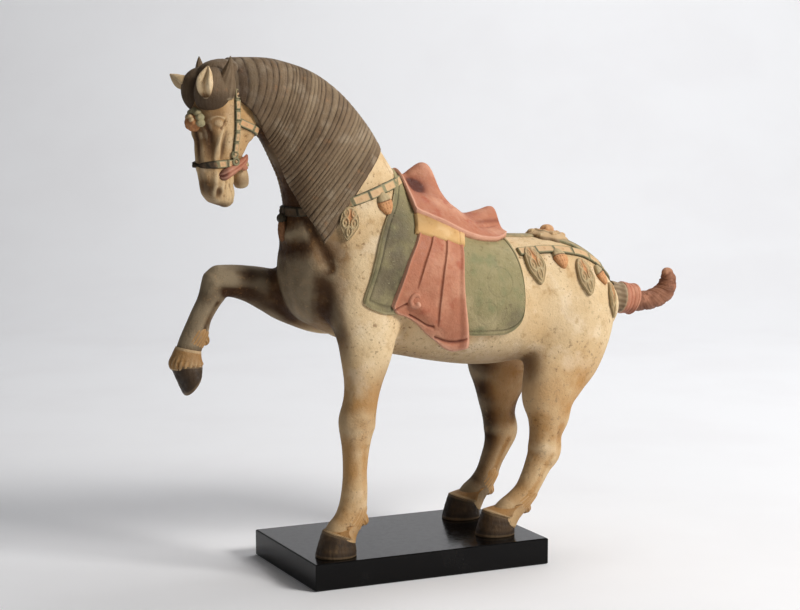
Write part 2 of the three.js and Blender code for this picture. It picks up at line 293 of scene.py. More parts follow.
class Finish:
    """A painted pottery finish laid up in coats from the ground colour."""

    def __init__(self, name, ground):
        self.stuff = bpy.data.materials.new(name)
        self.stuff.use_nodes = True
        self.tree = self.stuff.node_tree
        self.shader = self.tree.nodes["Principled BSDF"]
        self.place = self.add("ShaderNodeTexCoord").outputs["Object"]
        self.coat = self.add("ShaderNodeRGB").outputs[0]
        self.coat.default_value = ground
        self.relief = None

    def add(self, kind, **values):
        node = self.tree.nodes.new(kind)
        for key, value in values.items():
            setattr(node, key, value)
        return node

    def join(self, source, target):
        self.tree.links.new(source, target)

    def span(self, value, low, high, top=1.0, bottom=0.0):
        """A value from low..high spread smoothly over bottom..top."""
        node = self.add("ShaderNodeMapRange", interpolation_type="SMOOTHSTEP")
        self.join(value, node.inputs["Value"])
        for key, number in (("From Min", low), ("From Max", high), ("To Min", bottom), ("To Max", top)):
            node.inputs[key].default_value = number
        return node.outputs["Result"]

    def cloud(self, scale, detail, low, high, top=1.0, rough=0.55, stretch=None, warp=0.0):
        """Noise of that many blots a metre, spread from low..high."""
        node = self.add("ShaderNodeTexNoise")
        where = self.place
        if stretch:
            shift = self.add("ShaderNodeMapping")
            shift.inputs["Scale"].default_value = stretch
            self.join(where, shift.inputs["Vector"])
            where = shift.outputs["Vector"]
        self.join(where, node.inputs["Vector"])
        for key, number in (("Scale", scale), ("Detail", detail), ("Roughness", rough), ("Distortion", warp)):
            node.inputs[key].default_value = number
        return self.span(node.outputs["Fac"], low, high, top)

    def kept(self, name, top=1.0, low=0.0):
        """A value marked on the mesh."""
        return self.span(self.add("ShaderNodeAttribute", attribute_name=name).outputs["Fac"], low, 1, top)

    def both(self, a, b, how="MULTIPLY"):
        node = self.add("ShaderNodeMath", operation=how, use_clamp=True)
        self.join(a, node.inputs[0])
        self.join(b, node.inputs[1])
        return node.outputs[0]

    def wash(self, colour, share):
        """Lays a colour over the coat where share is."""
        node = self.add("ShaderNodeMix", data_type="RGBA")
        self.join(share, node.inputs["Factor"])
        self.join(self.coat, node.inputs["A"])
        node.inputs["B"].default_value = colour
        self.coat = node.outputs[2]
        return self

    def pit(self, height, amount, reach=0.001):
        """Roughens the surface by a height field, in metres of reach."""
        node = self.add("ShaderNodeBump")
        node.inputs["Strength"].default_value = amount
        node.inputs["Distance"].default_value = reach
        self.join(height, node.inputs["Height"])
        if self.relief is not None:
            self.join(self.relief, node.inputs["Normal"])
        self.relief = node.outputs["Normal"]
        return self

    def done(self, dull, low_gloss=None):
        """Closes the finish: roughness runs over low_gloss..dull with the grain."""
        self.join(self.coat, self.shader.inputs["Base Color"])
        grain = self.cloud(160, 4, 0.3, 0.7)
        self.join(self.span(grain, 0, 1, dull, low_gloss or dull - 0.15), self.shader.inputs["Roughness"])
        if self.relief is not None:
            self.join(self.relief, self.shader.inputs["Normal"])
        return self.stuff


def worn_slip():
    """Cream slip, rubbed to buff and stained brown in the hollows, with dark flecks."""
    f = Finish("worn_slip", tint(216, 189, 148))
    f.wash(tint(198, 163, 115), f.cloud(16, 5, 0.42, 0.66, 0.7))
    f.wash(tint(232, 211, 180), f.cloud(34, 7, 0.5, 0.68, 0.6))
    f.wash(tint(170, 130, 80), f.cloud(75, 9, 0.52, 0.7, 0.6, rough=0.65))
    f.wash(tint(176, 128, 70), f.both(f.kept("gold", 0.9), f.cloud(28, 7, 0.12, 0.6)))
    # brown stain and painted shade from the marked mask, near black where it is strongest
    f.wash(tint(122, 86, 48), f.both(f.kept("stain_and_shade"), f.cloud(38, 7, 0.05, 0.55)))
    f.wash(tint(56, 33, 14), f.both(f.kept("stain_and_shade", 0.95, 0.35), f.cloud(46, 7, 0.0, 0.52)))
    f.wash(
        tint(122, 88, 52), f.both(f.cloud(190, 8, 0.55, 0.65, 0.85, rough=0.7), f.cloud(22, 3, 0.38, 0.58))
    )
    f.wash(tint(84, 58, 36), f.kept("hollow", 0.7))
    f.wash(tint(236, 216, 178), f.kept("edge", 0.32))
    f.wash(tint(98, 78, 58), f.kept("hair", 0.95))
    f.wash(tint(70, 50, 32), f.cloud(620, 4, 0.68, 0.73, 0.8))
    f.wash(tint(96, 70, 44), f.cloud(1500, 2, 0.66, 0.74, 0.55))
    f.pit(f.cloud(420, 8, 0.3, 0.7), 0.35, 0.0007)
    f.pit(f.cloud(1300, 4, 0.35, 0.7), 0.25, 0.0003)
    f.pit(f.cloud(60, 4, 0.35, 0.65), 0.3, 0.0016)
    f.shader.inputs["Specular IOR Level"].default_value = 0.2
    return f.done(0.78, 0.56)


slip = worn_slip()

BODY_TRIANGLES = 128000
body = made("body", *weld([tube(rows, 12 * len(rows), 72, bulge) for rows, bulge in LIMBS]))
settle(body, "REMESH", mode="VOXEL", voxel_size=0.0017, adaptivity=0)
skin, skin_edges = points_of(body), read(body, "edges", "vertices", 2)
# The joints of trunk and limbs are worked smooth; the slim legs only enough to lose the tool marks.
high = np.where(
    skin[:, 0] < -118, rise(skin[:, 0], -150, -118) * (skin[:, 2] < 420), rise(skin[:, 2], 150, 225)
)
high = np.where((skin[:, 2] > 400) & (skin[:, 0] < 20), 0.6, high)
skin = relax(skin, skin_edges, 1.0, 4)
skin = relax(skin, skin_edges, high, 110)
move_to(body, skin)

BOTH_SIDES = [
    (-52, 62, 348, 26, 30, 42, 2.6), (-97, 50, 338, 11, 24, 34, -2.6), (-88, 50, 300, 16, 18, 20, 1.6),
    (-22, 66, 262, 11, 26, 26, -2.4), (-36, 60, 286, 14, 22, 20, 1.8), (140, 74, 300, 20, 24, 28, -3.2),
    (166, 62, 340, 16, 18, 13, 2.2), (212, 62, 300, 26, 22, 26, 1.6), (60, 76, 290, 40, 20, 30, 1.0),
    (-150, 0, 372, 30, 14, 40, -1.0), (-118, 34, 372, 20, 16, 26, 1.8),
]
LEGS = [
    # near foreleg: upper arm, knee, its hollows and the back tendon
    (-92, -60, 250, 9, 20, 20, 1.2), (-52, -66, 246, 10, 14, 22, 1.6), (-96, -60, 178, 7, 15, 12, 1.4),
    (-62, -60, 170, 6, 12, 7, 1.5), (-80, -78, 186, 7, 6, 8, 0.9), (-84, -78, 168, 6, 6, 6, 0.8),
    (-84, -44, 176, 8, 6, 12, 0.9), (-78, -76, 150, 5, 7, 14, -0.8),
    # near hind leg: stifle, second thigh, point of the hock and its hollow
    (136, -62, 246, 18, 18, 16, 2.0), (150, -70, 214, 16, 12, 20, 1.6), (196, -66, 205, 12, 16, 26, -1.4),
    (183, -52, 152, 7, 10, 14, 1.6), (172, -66, 142, 7, 7, 18, -1.9), (150, -64, 132, 9, 7, 12, 1.3),
    (172, -52, 128, 6, 8, 7, 1.0),
    # far hind leg
    (122, 58, 246, 16, 18, 16, 1.6), (176, 56, 205, 12, 14, 22, -1.2), (173, 50, 158, 7, 10, 13, 1.6),
    (164, 36, 148, 7, 7, 16, -1.7), (143, 36, 134, 9, 7, 12, 1.2), (150, 62, 146, 8, 7, 14, -1.2),
    # raised foreleg: knee and forearm
    (-206, 46, 336, 11, 14, 8, 1.6), (-214, 46, 318, 6, 12, 9, 1.0), (-190, 31, 330, 9, 6, 9, 1.0),
    (-150, 30, 322, 22, 8, 10, 1.3), (-178, 30, 314, 16, 6, 6, -1.0), (-196, 46, 306, 6, 10, 6, 1.0),
]
spots = [
    (x, side * y, z, rx, ry, rz, h) for x, y, z, rx, ry, rz, h in BOTH_SIDES for side in (NEAR, FAR)
] + LEGS
GROOVES = [
    # path, radius, depth: tendons down the cannons, and the seams of the upper muscles
    ([(-76, -75, 148), (-76, -74, 122), (-76, -75, 96)], 2.6, 1.3),
    ([(-76, -45, 148), (-76, -46, 122), (-76, -47, 96)], 2.6, 1.2),
    ([(160, -67, 120), (151, -66, 104), (143, -65, 88), (136, -64, 78)], 2.6, 1.3),
    ([(160, -35, 120), (151, -37, 104), (143, -38, 88), (136, -38, 78)], 2.6, 1.1),
    ([(158, 32, 122), (150, 34, 106), (143, 35, 90), (136, 35, 80)], 2.6, 1.3),
    ([(158, 64, 122), (150, 62, 106), (143, 61, 90), (136, 60, 80)], 2.6, 1.1),
    ([(-204, 34, 302), (-214, 34, 286), (-221, 34, 270)], 2.4, 1.2),
    ([(-204, 58, 302), (-214, 58, 286), (-221, 58, 270)], 2.4, 1.0),
    ([(-128, -34, 400), (-120, -44, 372), (-108, -52, 345)], 7, 2.2),
    ([(-128, 34, 400), (-120, 44, 372), (-108, 52, 345)], 7, 2.2),
    ([(-168, -22, 492), (-152, -29, 462), (-138, -34, 430)], 8, 1.6),
    ([(-168, 22, 492), (-152, 29, 462), (-138, 34, 430)], 8, 1.6),
    ([(-102, -32, 300), (-96, -34, 280), (-92, -38, 262)], 5, 1.6),
    ([(228, -58, 300), (222, -66, 262), (206, -68, 228), (190, -64, 198)], 5, 1.3),
]
lift = pushes(skin, spots)
for path, radius, depth in GROOVES:
    lift += scored(skin, path, radius, depth)
skin = skin + normals_of(body) * lift[:, None]
skin = relax(skin, skin_edges, 1.0, 2)
move_to(body, skin)
thin_out(body, BODY_TRIANGLES)
mark_hollows(body, 14, 0.55)
skin = points_of(body)
facing = normals_of(body)
# the front of the chest, neck and raised leg are darkest, brown stain with painted shade over it; what faces
# forward or down is darker as painted shade
stain_and_shade = 0.75 * rise(-skin[:, 0], 70, 140) * rise(skin[:, 2], 200, 290)
forward = rise(-facing[:, 0], 0.25, 0.95) * (0.2 + 0.35 * rise(skin[:, 2], 200, 290))
stain_and_shade += forward + 0.35 * rise(-skin[:, 0], 100, 150) * rise(skin[:, 2], 350, 420)
stain_and_shade += 0.15 * rise(-facing[:, 2], 0.1, 0.9) * rise(-skin[:, 0], -60, 40)
# painted shade: the far legs are darker below the trunk
stain_and_shade += 0.55 * rise(skin[:, 1], 20, 46) * rise(-skin[:, 2], -250, -180)
# painted shade under the belly
belly_underside_shade = rise(-skin[:, 2], -262, -225) * rise(-np.abs(skin[:, 0] - 40), -130, -80)
stain_and_shade += 0.5 * belly_underside_shade * rise(skin[:, 2], 180, 215)
# darker patches on the knees, hocks and fetlocks, with painted shade on the far hind leg and the raised
# foreleg
stain_and_shade += pushes(skin, [
    (-82, -62, 176, 24, 26, 26, 0.5), (160, -50, 140, 26, 30, 26, 0.35), (-216, 46, 300, 20, 30, 40, 0.5),
    (-170, 46, 322, 50, 40, 30, 0.3),
    (-100, -50, 360, 14, 30, 40, 0.3), (-90, -60, 60, 30, 30, 14, 0.55), (126, -48, 62, 30, 30, 14, 0.55),
    (128, 46, 62, 30, 30, 16, 0.8), (-230, 46, 250, 30, 30, 14, 0.5), (150, 48, 190, 50, 30, 70, 0.45),
    (196, -60, 250, 40, 30, 40, 0.2),
])
mark(body, "stain_and_shade", stain_and_shade)
gold = 0.9 * rise(-skin[:, 2], -260, -190) + 0.35 * rise(skin[:, 0], 150, 230) * rise(skin[:, 2], 300, 350)
mark(body, "gold", gold)
body.data.materials.append(slip)
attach(body, "root")
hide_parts("horse")

# What lies on the horse is laid by rays on to this skin, so cloth and straps follow its swellings.
hide = BVHTree.FromPolygons(skin.tolist(), [tuple(p.vertices) for p in body.data.polygons])


def calm(grid):
    """Irons small steps out of a grid of points, leaving its rim."""
    for _ in range(4 if grid.ndim == 3 else 0):
        for k in (0, 1):
            g = np.swapaxes(grid, 0, k)
            g[1:-1] = (g[:-2] + 2 * g[1:-1] + g[2:]) / 4
            grid = np.swapaxes(g, 0, k)
    return grid


BRINK = 0.0005  # how far short of a section's top its last points stop, as a share of its half depth


def laid(rows, x, z, side):
    """Points of the skin, and its outward direction, that show at x, z on one side of the trunk or neck."""
    t = np.linspace(0, 1, 500)
    centre, _, across, back, half = sections(rows, t)
    x, z, side = np.broadcast_arrays(np.asarray(x, float), np.asarray(z, float), np.asarray(side, float))
    flat = np.stack([x.ravel(), z.ravel()], 1)
    near = ((flat[:, None] - centre[None, :, ::2]) ** 2).sum(2).argmin(1)
    gap = flat - centre[near][:, ::2]
    high = (gap * back[near][:, ::2]).sum(1) / half[near, 0]
    # points past the top or underside of a section gather just short of its middle line, never on one spot
    past = np.maximum(np.abs(high) - (1 - BRINK), 0) / BRINK
    high = np.where(past > 0, np.sign(high) * (1 - BRINK / (1 + past)), high)
    spoke = back[near] * (half[near, 0] * high)[:, None]
    spoke = spoke + across[near] * (half[near, 1] * np.sqrt(1 - high**2) * side.ravel())[:, None]
    out, reach = unit(spoke), np.linalg.norm(spoke, axis=1)
    found = centre[near] + spoke
    for i, (c, d, r) in enumerate(zip(centre[near], out, reach)):
        # a swelling of the skin is followed up to 32 mm out, a hollow down to 12 mm in, short of the poll
        hit = hide.ray_cast(Vector(c + d * (r + 32)), Vector(-d), 44)[0]
        if hit is not None:
            share = 1 - rise(-c[0], 142, 168)
            found[i] += (np.array(hit) - found[i]) * share
    return calm(found.reshape(*x.shape, 3)), unit(calm(out.reshape(*x.shape, 3)))


def rim_of(rows, columns):
    """The points round the rim of a grid, in order."""
    rim = list(range(columns))
    rim += [i * columns + columns - 1 for i in range(1, rows)]
    rim += [(rows - 1) * columns + j for j in range(columns - 2, -1, -1)]
    return rim + [i * columns for i in range(rows - 2, 0, -1)]


def plate(outer, inner):
    """A closed sheet between two grids of points, joined round its rim."""
    rows, columns = outer.shape[:2]
    n = rows * columns
    faces = grid_faces(rows, columns) + grid_faces(rows, columns, n, True)
    rim = rim_of(rows, columns)
    faces += [(a, a + n, b + n, b) for a, b in zip(rim, rim[1:] + rim[:1])]
    return np.vstack([outer.reshape(-1, 3), inner.reshape(-1, 3)]), faces


def layer(outer, inner):
    """A wide layer of clay bedded in the body: its face, its cut edge and a plain buried back."""
    rows, columns = outer.shape[:2]
    rim = rim_of(rows, columns)
    n, m = rows * columns, len(rim)
    faces = grid_faces(rows, columns)
    for k, a in enumerate(rim):
        q = (k + 1) % m
        faces += [(a, n + k, n + q, rim[q]), (n + m, n + q, n + k)]
    inner = inner.reshape(-1, 3)
    return np.vstack([outer.reshape(-1, 3), inner[rim], inner.mean(0)]), faces


def with_back(values, back=0.0):
    """Values over the face of a layer, and one for its back."""
    return np.concatenate([values.ravel(), np.full(len(rim_of(*values.shape)) + 1, back)])


# ---------------------------------------------------------------------------------------------------------
# The head: a boxy carved head with heavy eyelids, high cheek ridges and an open mouth, drawn in to the chest.
# Worked in the same slipped clay as the body and turned a little to the near side at the poll.
# ---------------------------------------------------------------------------------------------------------
POLL = np.array([-190.0, 0.0, 535.0])
HEAD_TURN = np.radians(14)
# Stations down the head: forward of the poll, to the near side, down, half depth, half width.
SKULL = [
    (22, 0, -20, 25.5, 17), (22, 0, 0, 32, 21), (23.5, 0, 20, 34, 22), (24.5, 0, 40, 33.5, 21.5),
    (26.5, 0, 55, 30, 19),
    (30, 0, 68, 25, 17), (32, 0, 81, 21, 15.5), (31.5, 0, 93, 19.5, 15), (29.5, 0, 104, 18, 14),
    (22.5, 0, 114, 12.5, 12.5), (18.5, 0, 120, 7, 9),
]
LOWER_JAW = [(14, 0, 62, 10, 12), (6, 0, 80, 9.5, 10), (1, 0, 93, 9.5, 9.5), (-1, 0, 101, 8, 8.5)]


def on_head(points, turn=True):
    """Points given as forward, near side, down from the poll, placed in the frame."""
    p = np.asarray(points, float)
    f, s, a = p[..., 0], p[..., 1], p[..., 2]
    c, d = (np.cos(HEAD_TURN), np.sin(HEAD_TURN)) if turn else (1.0, 0.0)
    return np.stack([POLL[0] - f * c + s * d, -f * d - s * c, POLL[2] - a], -1)


def head_tube(rows, *shape, **more):
    """A tube of head stations, made facing -X and then turned with the head."""
    rows = np.asarray(rows, float)
    straight = np.concatenate([on_head(rows[:, :3], False), rows[:, 3:]], 1)
    points, faces = tube(straight, *shape, **more)
    return on_head(np.stack([POLL[0] - points[:, 0], -points[:, 1], POLL[2] - points[:, 2]], 1)), faces


def pebble(centre, radii, rows=26, columns=40, relief=None):
    """A rounded lump with its poles up and down; relief(high, turn) models its surface."""
    high = np.linspace(-1, 1, rows)[1:-1, None] * np.pi / 2
    turn = np.linspace(0, 2 * np.pi, columns, endpoint=False)[None]
    swell = 1 + (0 if relief is None else relief(high, turn))
    shape = np.stack([np.cos(high) * np.cos(turn), np.cos(high) * np.sin(turn), np.sin(high) + 0 * turn], -1)
    swell = swell * np.ones_like(turn)
    points = (shape * swell[..., None] * radii + centre).reshape(-1, 3)
    poles = np.array([centre, centre], float) + np.array([[0, 0, -1], [0, 0, 1]]) * radii[2]
    return np.vstack([points, poles]), capped(rows - 2, columns)


def head_pebble(centre, radii, **more):
    points, faces = pebble(centre, radii, **more)
    return on_head(points), faces


eyes = [head_pebble((40.5, 17.5 * side, 33.5), (7, 6, 6)) for side in (1, -1)]
jowls = [head_pebble((6, 9 * side, 34), (21, 13, 24)) for side in (1, -1)]
HEAD_TRIANGLES = 78000
head = made("head", *weld([
    head_tube(SKULL, 100, 64, (12, 4), full=0.72), head_tube(LOWER_JAW, 50, 40, (0, 5)), *jowls, *eyes,
]))
settle(head, "REMESH", mode="VOXEL", voxel_size=0.0008, adaptivity=0)
flesh, flesh_edges = points_of(head), read(head, "edges", "vertices", 2)
flesh = relax(flesh, flesh_edges, 1.0, 10)
move_to(head, flesh)


def from_poll(points):
    """The reverse of on_head: forward, near side, down."""
    q = points - POLL
    c, d = np.cos(HEAD_TURN), np.sin(HEAD_TURN)
    return np.stack([-q[:, 0] * c - q[:, 1] * d, q[:, 0] * d - q[:, 1] * c, -q[:, 2]], 1)


local = from_poll(flesh)
FACE = [
    # forward, side, down, radii, height: hollows beside the nose, cheek ridge, groove behind it, muzzle, chin
    (47, 15, 58, 6, 6, 17, -3.0), (40, 19, 58, 3.2, 6, 18, 2.2), (33, 18, 62, 3.2, 6, 13, -2.0),
    (24, 20, 52, 8, 6, 20, 0.8), (12, 20, 40, 12, 8, 18, 1.2), (48, 14, 34, 4, 6, 8, 2.2),
    (44, 14, 26, 7, 6, 4, 1.4), (46, 12, 92, 5, 6, 10, -1.6), (41, 15, 96, 3.0, 5, 12, 1.6),
    (37, 14, 108, 4.2, 5, 5.5, -1.8), (33, 15, 101, 3.2, 6, 7, 1.6), (42, 13, 109, 3, 4, 6, 1.8),
    (27, 15, 106, 4, 6, 12, 1.2), (24, 15, 92, 2.5, 5, 10, -1.3), (36, 10, 117, 6, 5, 4, 1.0),
    (4, 11, 88, 6, 5, 10, 0.8), (14, 12, 84, 4, 6, 10, -1.6), (-2, 12, 52, 9, 6, 9, 0.8),
]
lift = pushes(local, [(f, k * s, a, rf, rs, ra, h) for f, s, a, rf, rs, ra, h in FACE for k in (1, -1)])
lift += pushes(
    local, [(58, 0, 62, 8, 4.0, 26, -1.9), (54, 0, 98, 8, 3.4, 10, -0.8), (0, 0, 98, 8, 3, 14, -0.6)]
)
for k in (1, -1):
    lift += scored(local, [(56, 8.5 * k, 46), (55, 8.5 * k, 66), (53, 8 * k, 84)], 2.4, -1.3)
    # lids round the eye, the fold above it and the tear line at its inner corner
    lift += scored(local, [(50, 15 * k, 31), (43, 20 * k, 28), (34, 22.5 * k, 30)], 1.5, -1.5)
    lift += scored(local, [(33, 22 * k, 30), (35, 21 * k, 35), (38, 20 * k, 40)], 1.2, 1.1)
    lift += scored(local, [(50, 15 * k, 32), (44, 18 * k, 36), (38, 20 * k, 40)], 1.2, 1.0)
    lift += scored(local, [(36, 20 * k, 41), (39, 19 * k, 52), (43, 17 * k, 64), (43, 16 * k, 74)], 1.8, -1.5)
    lift += scored(local, [(31, 20 * k, 44), (33, 19 * k, 58), (36, 17 * k, 72)], 2.0, 1.0)
    lift += scored(local, [(52, 14 * k, 38), (49, 15 * k, 46), (48, 15 * k, 54)], 2.6, 1.4)
    # the lips: the slit of the mouth from its corner forward, the nostril's rim and two folds behind it
    lift += scored(local, [(19, 15 * k, 88), (13, 13 * k, 98), (10, 11 * k, 108)], 1.8, 2.0)
    lift += scored(
        local, [(41, 12 * k, 103), (37, 15 * k, 101), (33, 14 * k, 106), (34, 13 * k, 112)], 1.5, -0.7
    )
    lift += scored(local, [(31, 15 * k, 88), (29, 15 * k, 96), (30, 14 * k, 104)], 1.3, 0.9)
    lift += scored(local, [(26, 15 * k, 88), (28, 15 * k, 97)], 1.1, 0.7)
    lift += scored(local, [(24, 14 * k, 100), (20, 13 * k, 110), (17, 10 * k, 119)], 1.4, 0.8)
flesh = flesh + normals_of(head) * lift[:, None]
flesh = relax(flesh, flesh_edges, 1.0, 2)
move_to(head, flesh)
thin_out(head, HEAD_TRIANGLES)
mark_hollows(head, 12, 0.32)
local = from_poll(points_of(head))
# the head darkens down the groove of the nose, beside it, over the muzzle, chin and brow
stain_and_shade = pushes(local, [
    (58, 0, 62, 9, 3.5, 30, 0.75), (47, 14, 58, 5, 8, 20, 0.55), (47, -14, 58, 5, 8, 20, 0.5),
    (50, 8, 100, 10, 16, 14, 0.6), (37, 14, 108, 4, 6, 5, 0.5), (37, -14, 108, 4, 6, 5, 0.5),
    (22, 0, 122, 14, 16, 6, 0.9), (0, 0, 98, 14, 16, 14, 0.85), (12, 14, 104, 5, 8, 16, 0.6),
    (44, 0, 24, 22, 26, 12, 0.55), (-6, 0, 60, 10, 20, 20, 0.25), (34, 17, 62, 4, 8, 14, 0.5),
    (52, 12, 44, 6, 9, 14, 0.6), (52, -12, 44, 6, 9, 14, 0.6),
])
# painted shade on the far side of the head; the upper face towards the front is darker too
stain_and_shade += 0.35 * rise(-local[:, 1], 4, 18) + 0.38 * rise(-local[:, 2], -86, -66) * rise(local[:, 0], 22, 44)
mark(head, "stain_and_shade", 0.75 * stain_and_shade + 0.1 + 0.3 * rise(local[:, 2], 84, 104) * rise(local[:, 0], 20, 40))
mark(head, "gold", 0.6 * rise(-local[:, 2], -100, -80))
mark(head, "hair", rise(-local[:, 2] - 0.25 * np.abs(local[:, 0] - 20), -4, 1))
head.data.materials.append(slip)
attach(head, "root")

# ---------------------------------------------------------------------------------------------------------
# The ears: two thin leaves, rolled and hollow in front, pale inside, set in the forelock and pricked apart.
# Each is pinched from a pad of clay, so it thins from a thick root to a sharp tip.
# ---------------------------------------------------------------------------------------------------------
EARS = [
    # root, middle and tip, and the way the hollow faces round the leaf
    ([(56, 20, 5, 5, 5), (61, 25.5, -2, 8.4, 7.6), (63, 28.5, -10, 8.8, 8), (61.5, 30, -18, 6, 5.4),
    (60, 30.5, -25, 1, 1)], (0.8, 0.6, 0)),
    ([(50, -12, -3, 5, 5), (55, -19, -6, 8.2, 7.6), (59, -25, -8.5, 8.2, 7.8), (62, -31, -12.5, 5.4, 5),
    (64, -37, -16.5, 0.9, 0.9)], (0.75, 0.2, 0.62)),
]


def rolled(face):
    """An ear's relief: hollow where it faces, with a ridge down the middle of the hollow."""

    def relief(t, turn):
        gap = np.angle(np.exp(1j * (turn - face)))
        length = np.sin(np.pi * np.clip(t * 1.02, 0, 1)) ** 0.7
        return length * (-7.5 * np.exp(-((gap / 0.75) ** 4)) + 1.3 * np.exp(-((gap / 0.16) ** 2)))

    return relief


for side, (rows, faces_to) in zip((NEAR, FAR), EARS):
    # the angle round the leaf at which its hollow looks the way it is set
    straight = np.array([(-f, -s, -a, p, q) for f, s, a, p, q in rows], float)
    _, _, across, back, _ = sections(straight, np.array([0.5]))
    aim = -np.array(faces_to)
    face = np.arctan2(across[0] @ aim, back[0] @ aim)
    ear = made(
        "ear_near" if side == NEAR else "ear_far", *head_tube(rows, 90, 84, (2, 0), relief=rolled(face))
    )
    mark_hollows(ear, 14, 0.5)
    local = from_poll(points_of(ear))
    mark(ear, "stain_and_shade", 0.8 * rise(local[:, 2], -4, 8) + 0.35 * rise(-local[:, 2], 20, 28))
    ear.data.materials.append(slip)
    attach(ear, "root")

# ---------------------------------------------------------------------------------------------------------
# The forelock: two heavy combed lobes parted over the brow, and two locks tied up into points behind the
# ears. Modelled on in clay and combed with a toothed tool, then painted grey brown like the mane.
# ---------------------------------------------------------------------------------------------------------


def painted_hair():
    """Grey-brown paint over buff clay, dark in the combed grooves and rubbed pale on the ridges."""
    f = Finish("painted_hair", tint(126, 105, 81))
    f.wash(tint(98, 78, 57), f.cloud(26, 6, 0.42, 0.66, 0.8))
    f.wash(tint(158, 142, 120), f.cloud(48, 7, 0.52, 0.7, 0.6))
    f.wash(tint(150, 112, 78), f.cloud(120, 8, 0.58, 0.72, 0.6))
    f.wash(tint(58, 40, 25), f.kept("stain_and_shade", 0.85))
    f.wash(tint(50, 36, 24), f.kept("hollow", 0.95))
    f.wash(tint(186, 166, 134), f.kept("edge", 0.6))
    f.wash(tint(60, 44, 30), f.cloud(900, 3, 0.64, 0.72, 0.6))
    f.pit(f.cloud(700, 6, 0.3, 0.7), 0.4, 0.0005)
    f.pit(f.cloud(140, 6, 0.35, 0.65), 0.35, 0.001)
    f.shader.inputs["Specular IOR Level"].default_value = 0.25
    return f.done(0.82, 0.6)


hair = painted_hair()
LOBE = {"radii": (19.5, 17, 24), "centre": (42, 13, 0)}
LOCKS = [
    # root, middle and tip of each standing lock
    [(33, 17, 6, 13, 10), (33, 21, -5, 12.5, 9), (32.5, 25.5, -17, 7.6, 6), (31.5, 28.5, -28, 3.4, 2.8),
    (31, 29, -35.5, 0.5, 0.5)],
    [(34, -17, 4, 13, 10), (34, -21, -6, 11.5, 9), (33.5, -25, -18, 7, 6), (33, -27.5, -29, 3.4, 2.8),
    (33, -28, -35.5, 0.5, 0.5)],
]


def combed(rows, depth):
    def relief(high, turn):
        sway = 3.2 * turn + 0.5 * np.sin(2.2 * high + turn)
        return -depth * (0.5 + 0.5 * np.cos(rows * sway / 3.2)) ** 3 * np.cos(high) ** 0.5

    return relief


def poll_hair(t, turn):
    return -0.5 * (0.5 + 0.5 * np.cos(38 * turn + 3 * t)) ** 2


def lock_hair(t, turn):
    return -0.4 * (0.5 + 0.5 * np.cos(9 * turn + 4 * t)) ** 3


# the hair drawn back over the poll between the lobes, the locks and the mane
poll = [(24, 0, -20, 26, 18.6), (23.5, 0, -8, 31, 21.6), (23, 0, 3, 32.6, 22.2), (23, 0, 9, 29, 19.4)]
fore = [head_tube(poll, 28, 130, (13, 0), full=0.86, relief=poll_hair)]
for k in (1, -1):
    c = np.array(LOBE["centre"], float) * (1, k, 1)
    points, faces = pebble((0, 0, 0), (1, 1, 1), rows=60, columns=110, relief=combed(26, 0.006))
    # the lobe narrows to its lower end, where the two meet over the brow
    down = (points[:, 2] + 1) / 2
    round_it = np.arctan2(points[:, 1] * k, points[:, 0])
    swirl = 0.035 * np.sin(2.6 * round_it + 2.4 * down) * np.sin(np.pi * down)
    points = points * LOBE["radii"] * (1 + 0.05 * np.sin(np.pi * down) + swirl)[:, None]
    points[:, 1] -= k * 3.0 * down**2
    points[:, 0] += 3.0 * down**2
    fore.append((on_head(points + c), faces))
for rows in LOCKS:
    fore.append(head_tube(rows, 60, 48, (4, 0), relief=lock_hair))
forelock = made("forelock", *weld(fore))
poll_count = len(fore[0][0])
mark_hollows(forelock, 5, 0.5, np.arange(len(forelock.data.vertices)) >= poll_count)
local = from_poll(points_of(forelock))
parting = np.exp(-((local[:, 1] / 3.5) ** 2)) * (local[:, 0] > 50)
mark(forelock, "stain_and_shade", 0.4 + 0.6 * rise(local[:, 2], -6, 14) + 0.8 * parting)
forelock.data.materials.append(hair)
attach(forelock, "root")

# ---------------------------------------------------------------------------------------------------------
# The mane: a heavy clipped mane combed down both sides of the arched neck to a point above the shoulder.
# A thick clay layer cut off clean at its edges, scored with long grooves and painted grey brown.
# ---------------------------------------------------------------------------------------------------------
MANE_PROUD = 4.2
STRANDS = 34
# Where the strands leave the crest, from the poll to the withers, and where the front edge cuts them off.
MANE_BED = [*NECK, (-204, 0, 529, 37, 25), (-222, 0, 528, 34, 22)]
CREST = [
    (-204, 572), (-166, 573), (-140, 571), (-120, 565), (-99, 556), (-78, 541), (-60, 524), (-45, 504),
    (-34, 485), (-33, 467)
]
MIDWAY = [
    (-205, 550), (-170, 541), (-150, 528), (-135, 517), (-120, 503), (-107, 488), (-96, 471), (-87, 454),
    (-79, 437), (-75, 422)
]
FRONT_CUT = [
    (-206, 529), (-182, 509), (-166, 487), (-156, 470), (-147, 451), (-140, 435), (-133, 418), (-127, 402),
    (-119, 386), (-111, 370)
]


def mane_side(side, across, along):
    """One side of the mane as rows of points down its strands, with their outward directions."""
    t = np.linspace(0, 1, across)
    start, middle, end = through(CREST, t), through(MIDWAY, t), through(FRONT_CUT, t)
    r = np.linspace(0, 1, along)[:, None, None] ** 1.15
    flat = start * (1 - r) * (1 - 2 * r) + middle * 4 * r * (1 - r) + end * r * (2 * r - 1)
    return laid(MANE_BED, flat[..., 0], flat[..., 1], side)


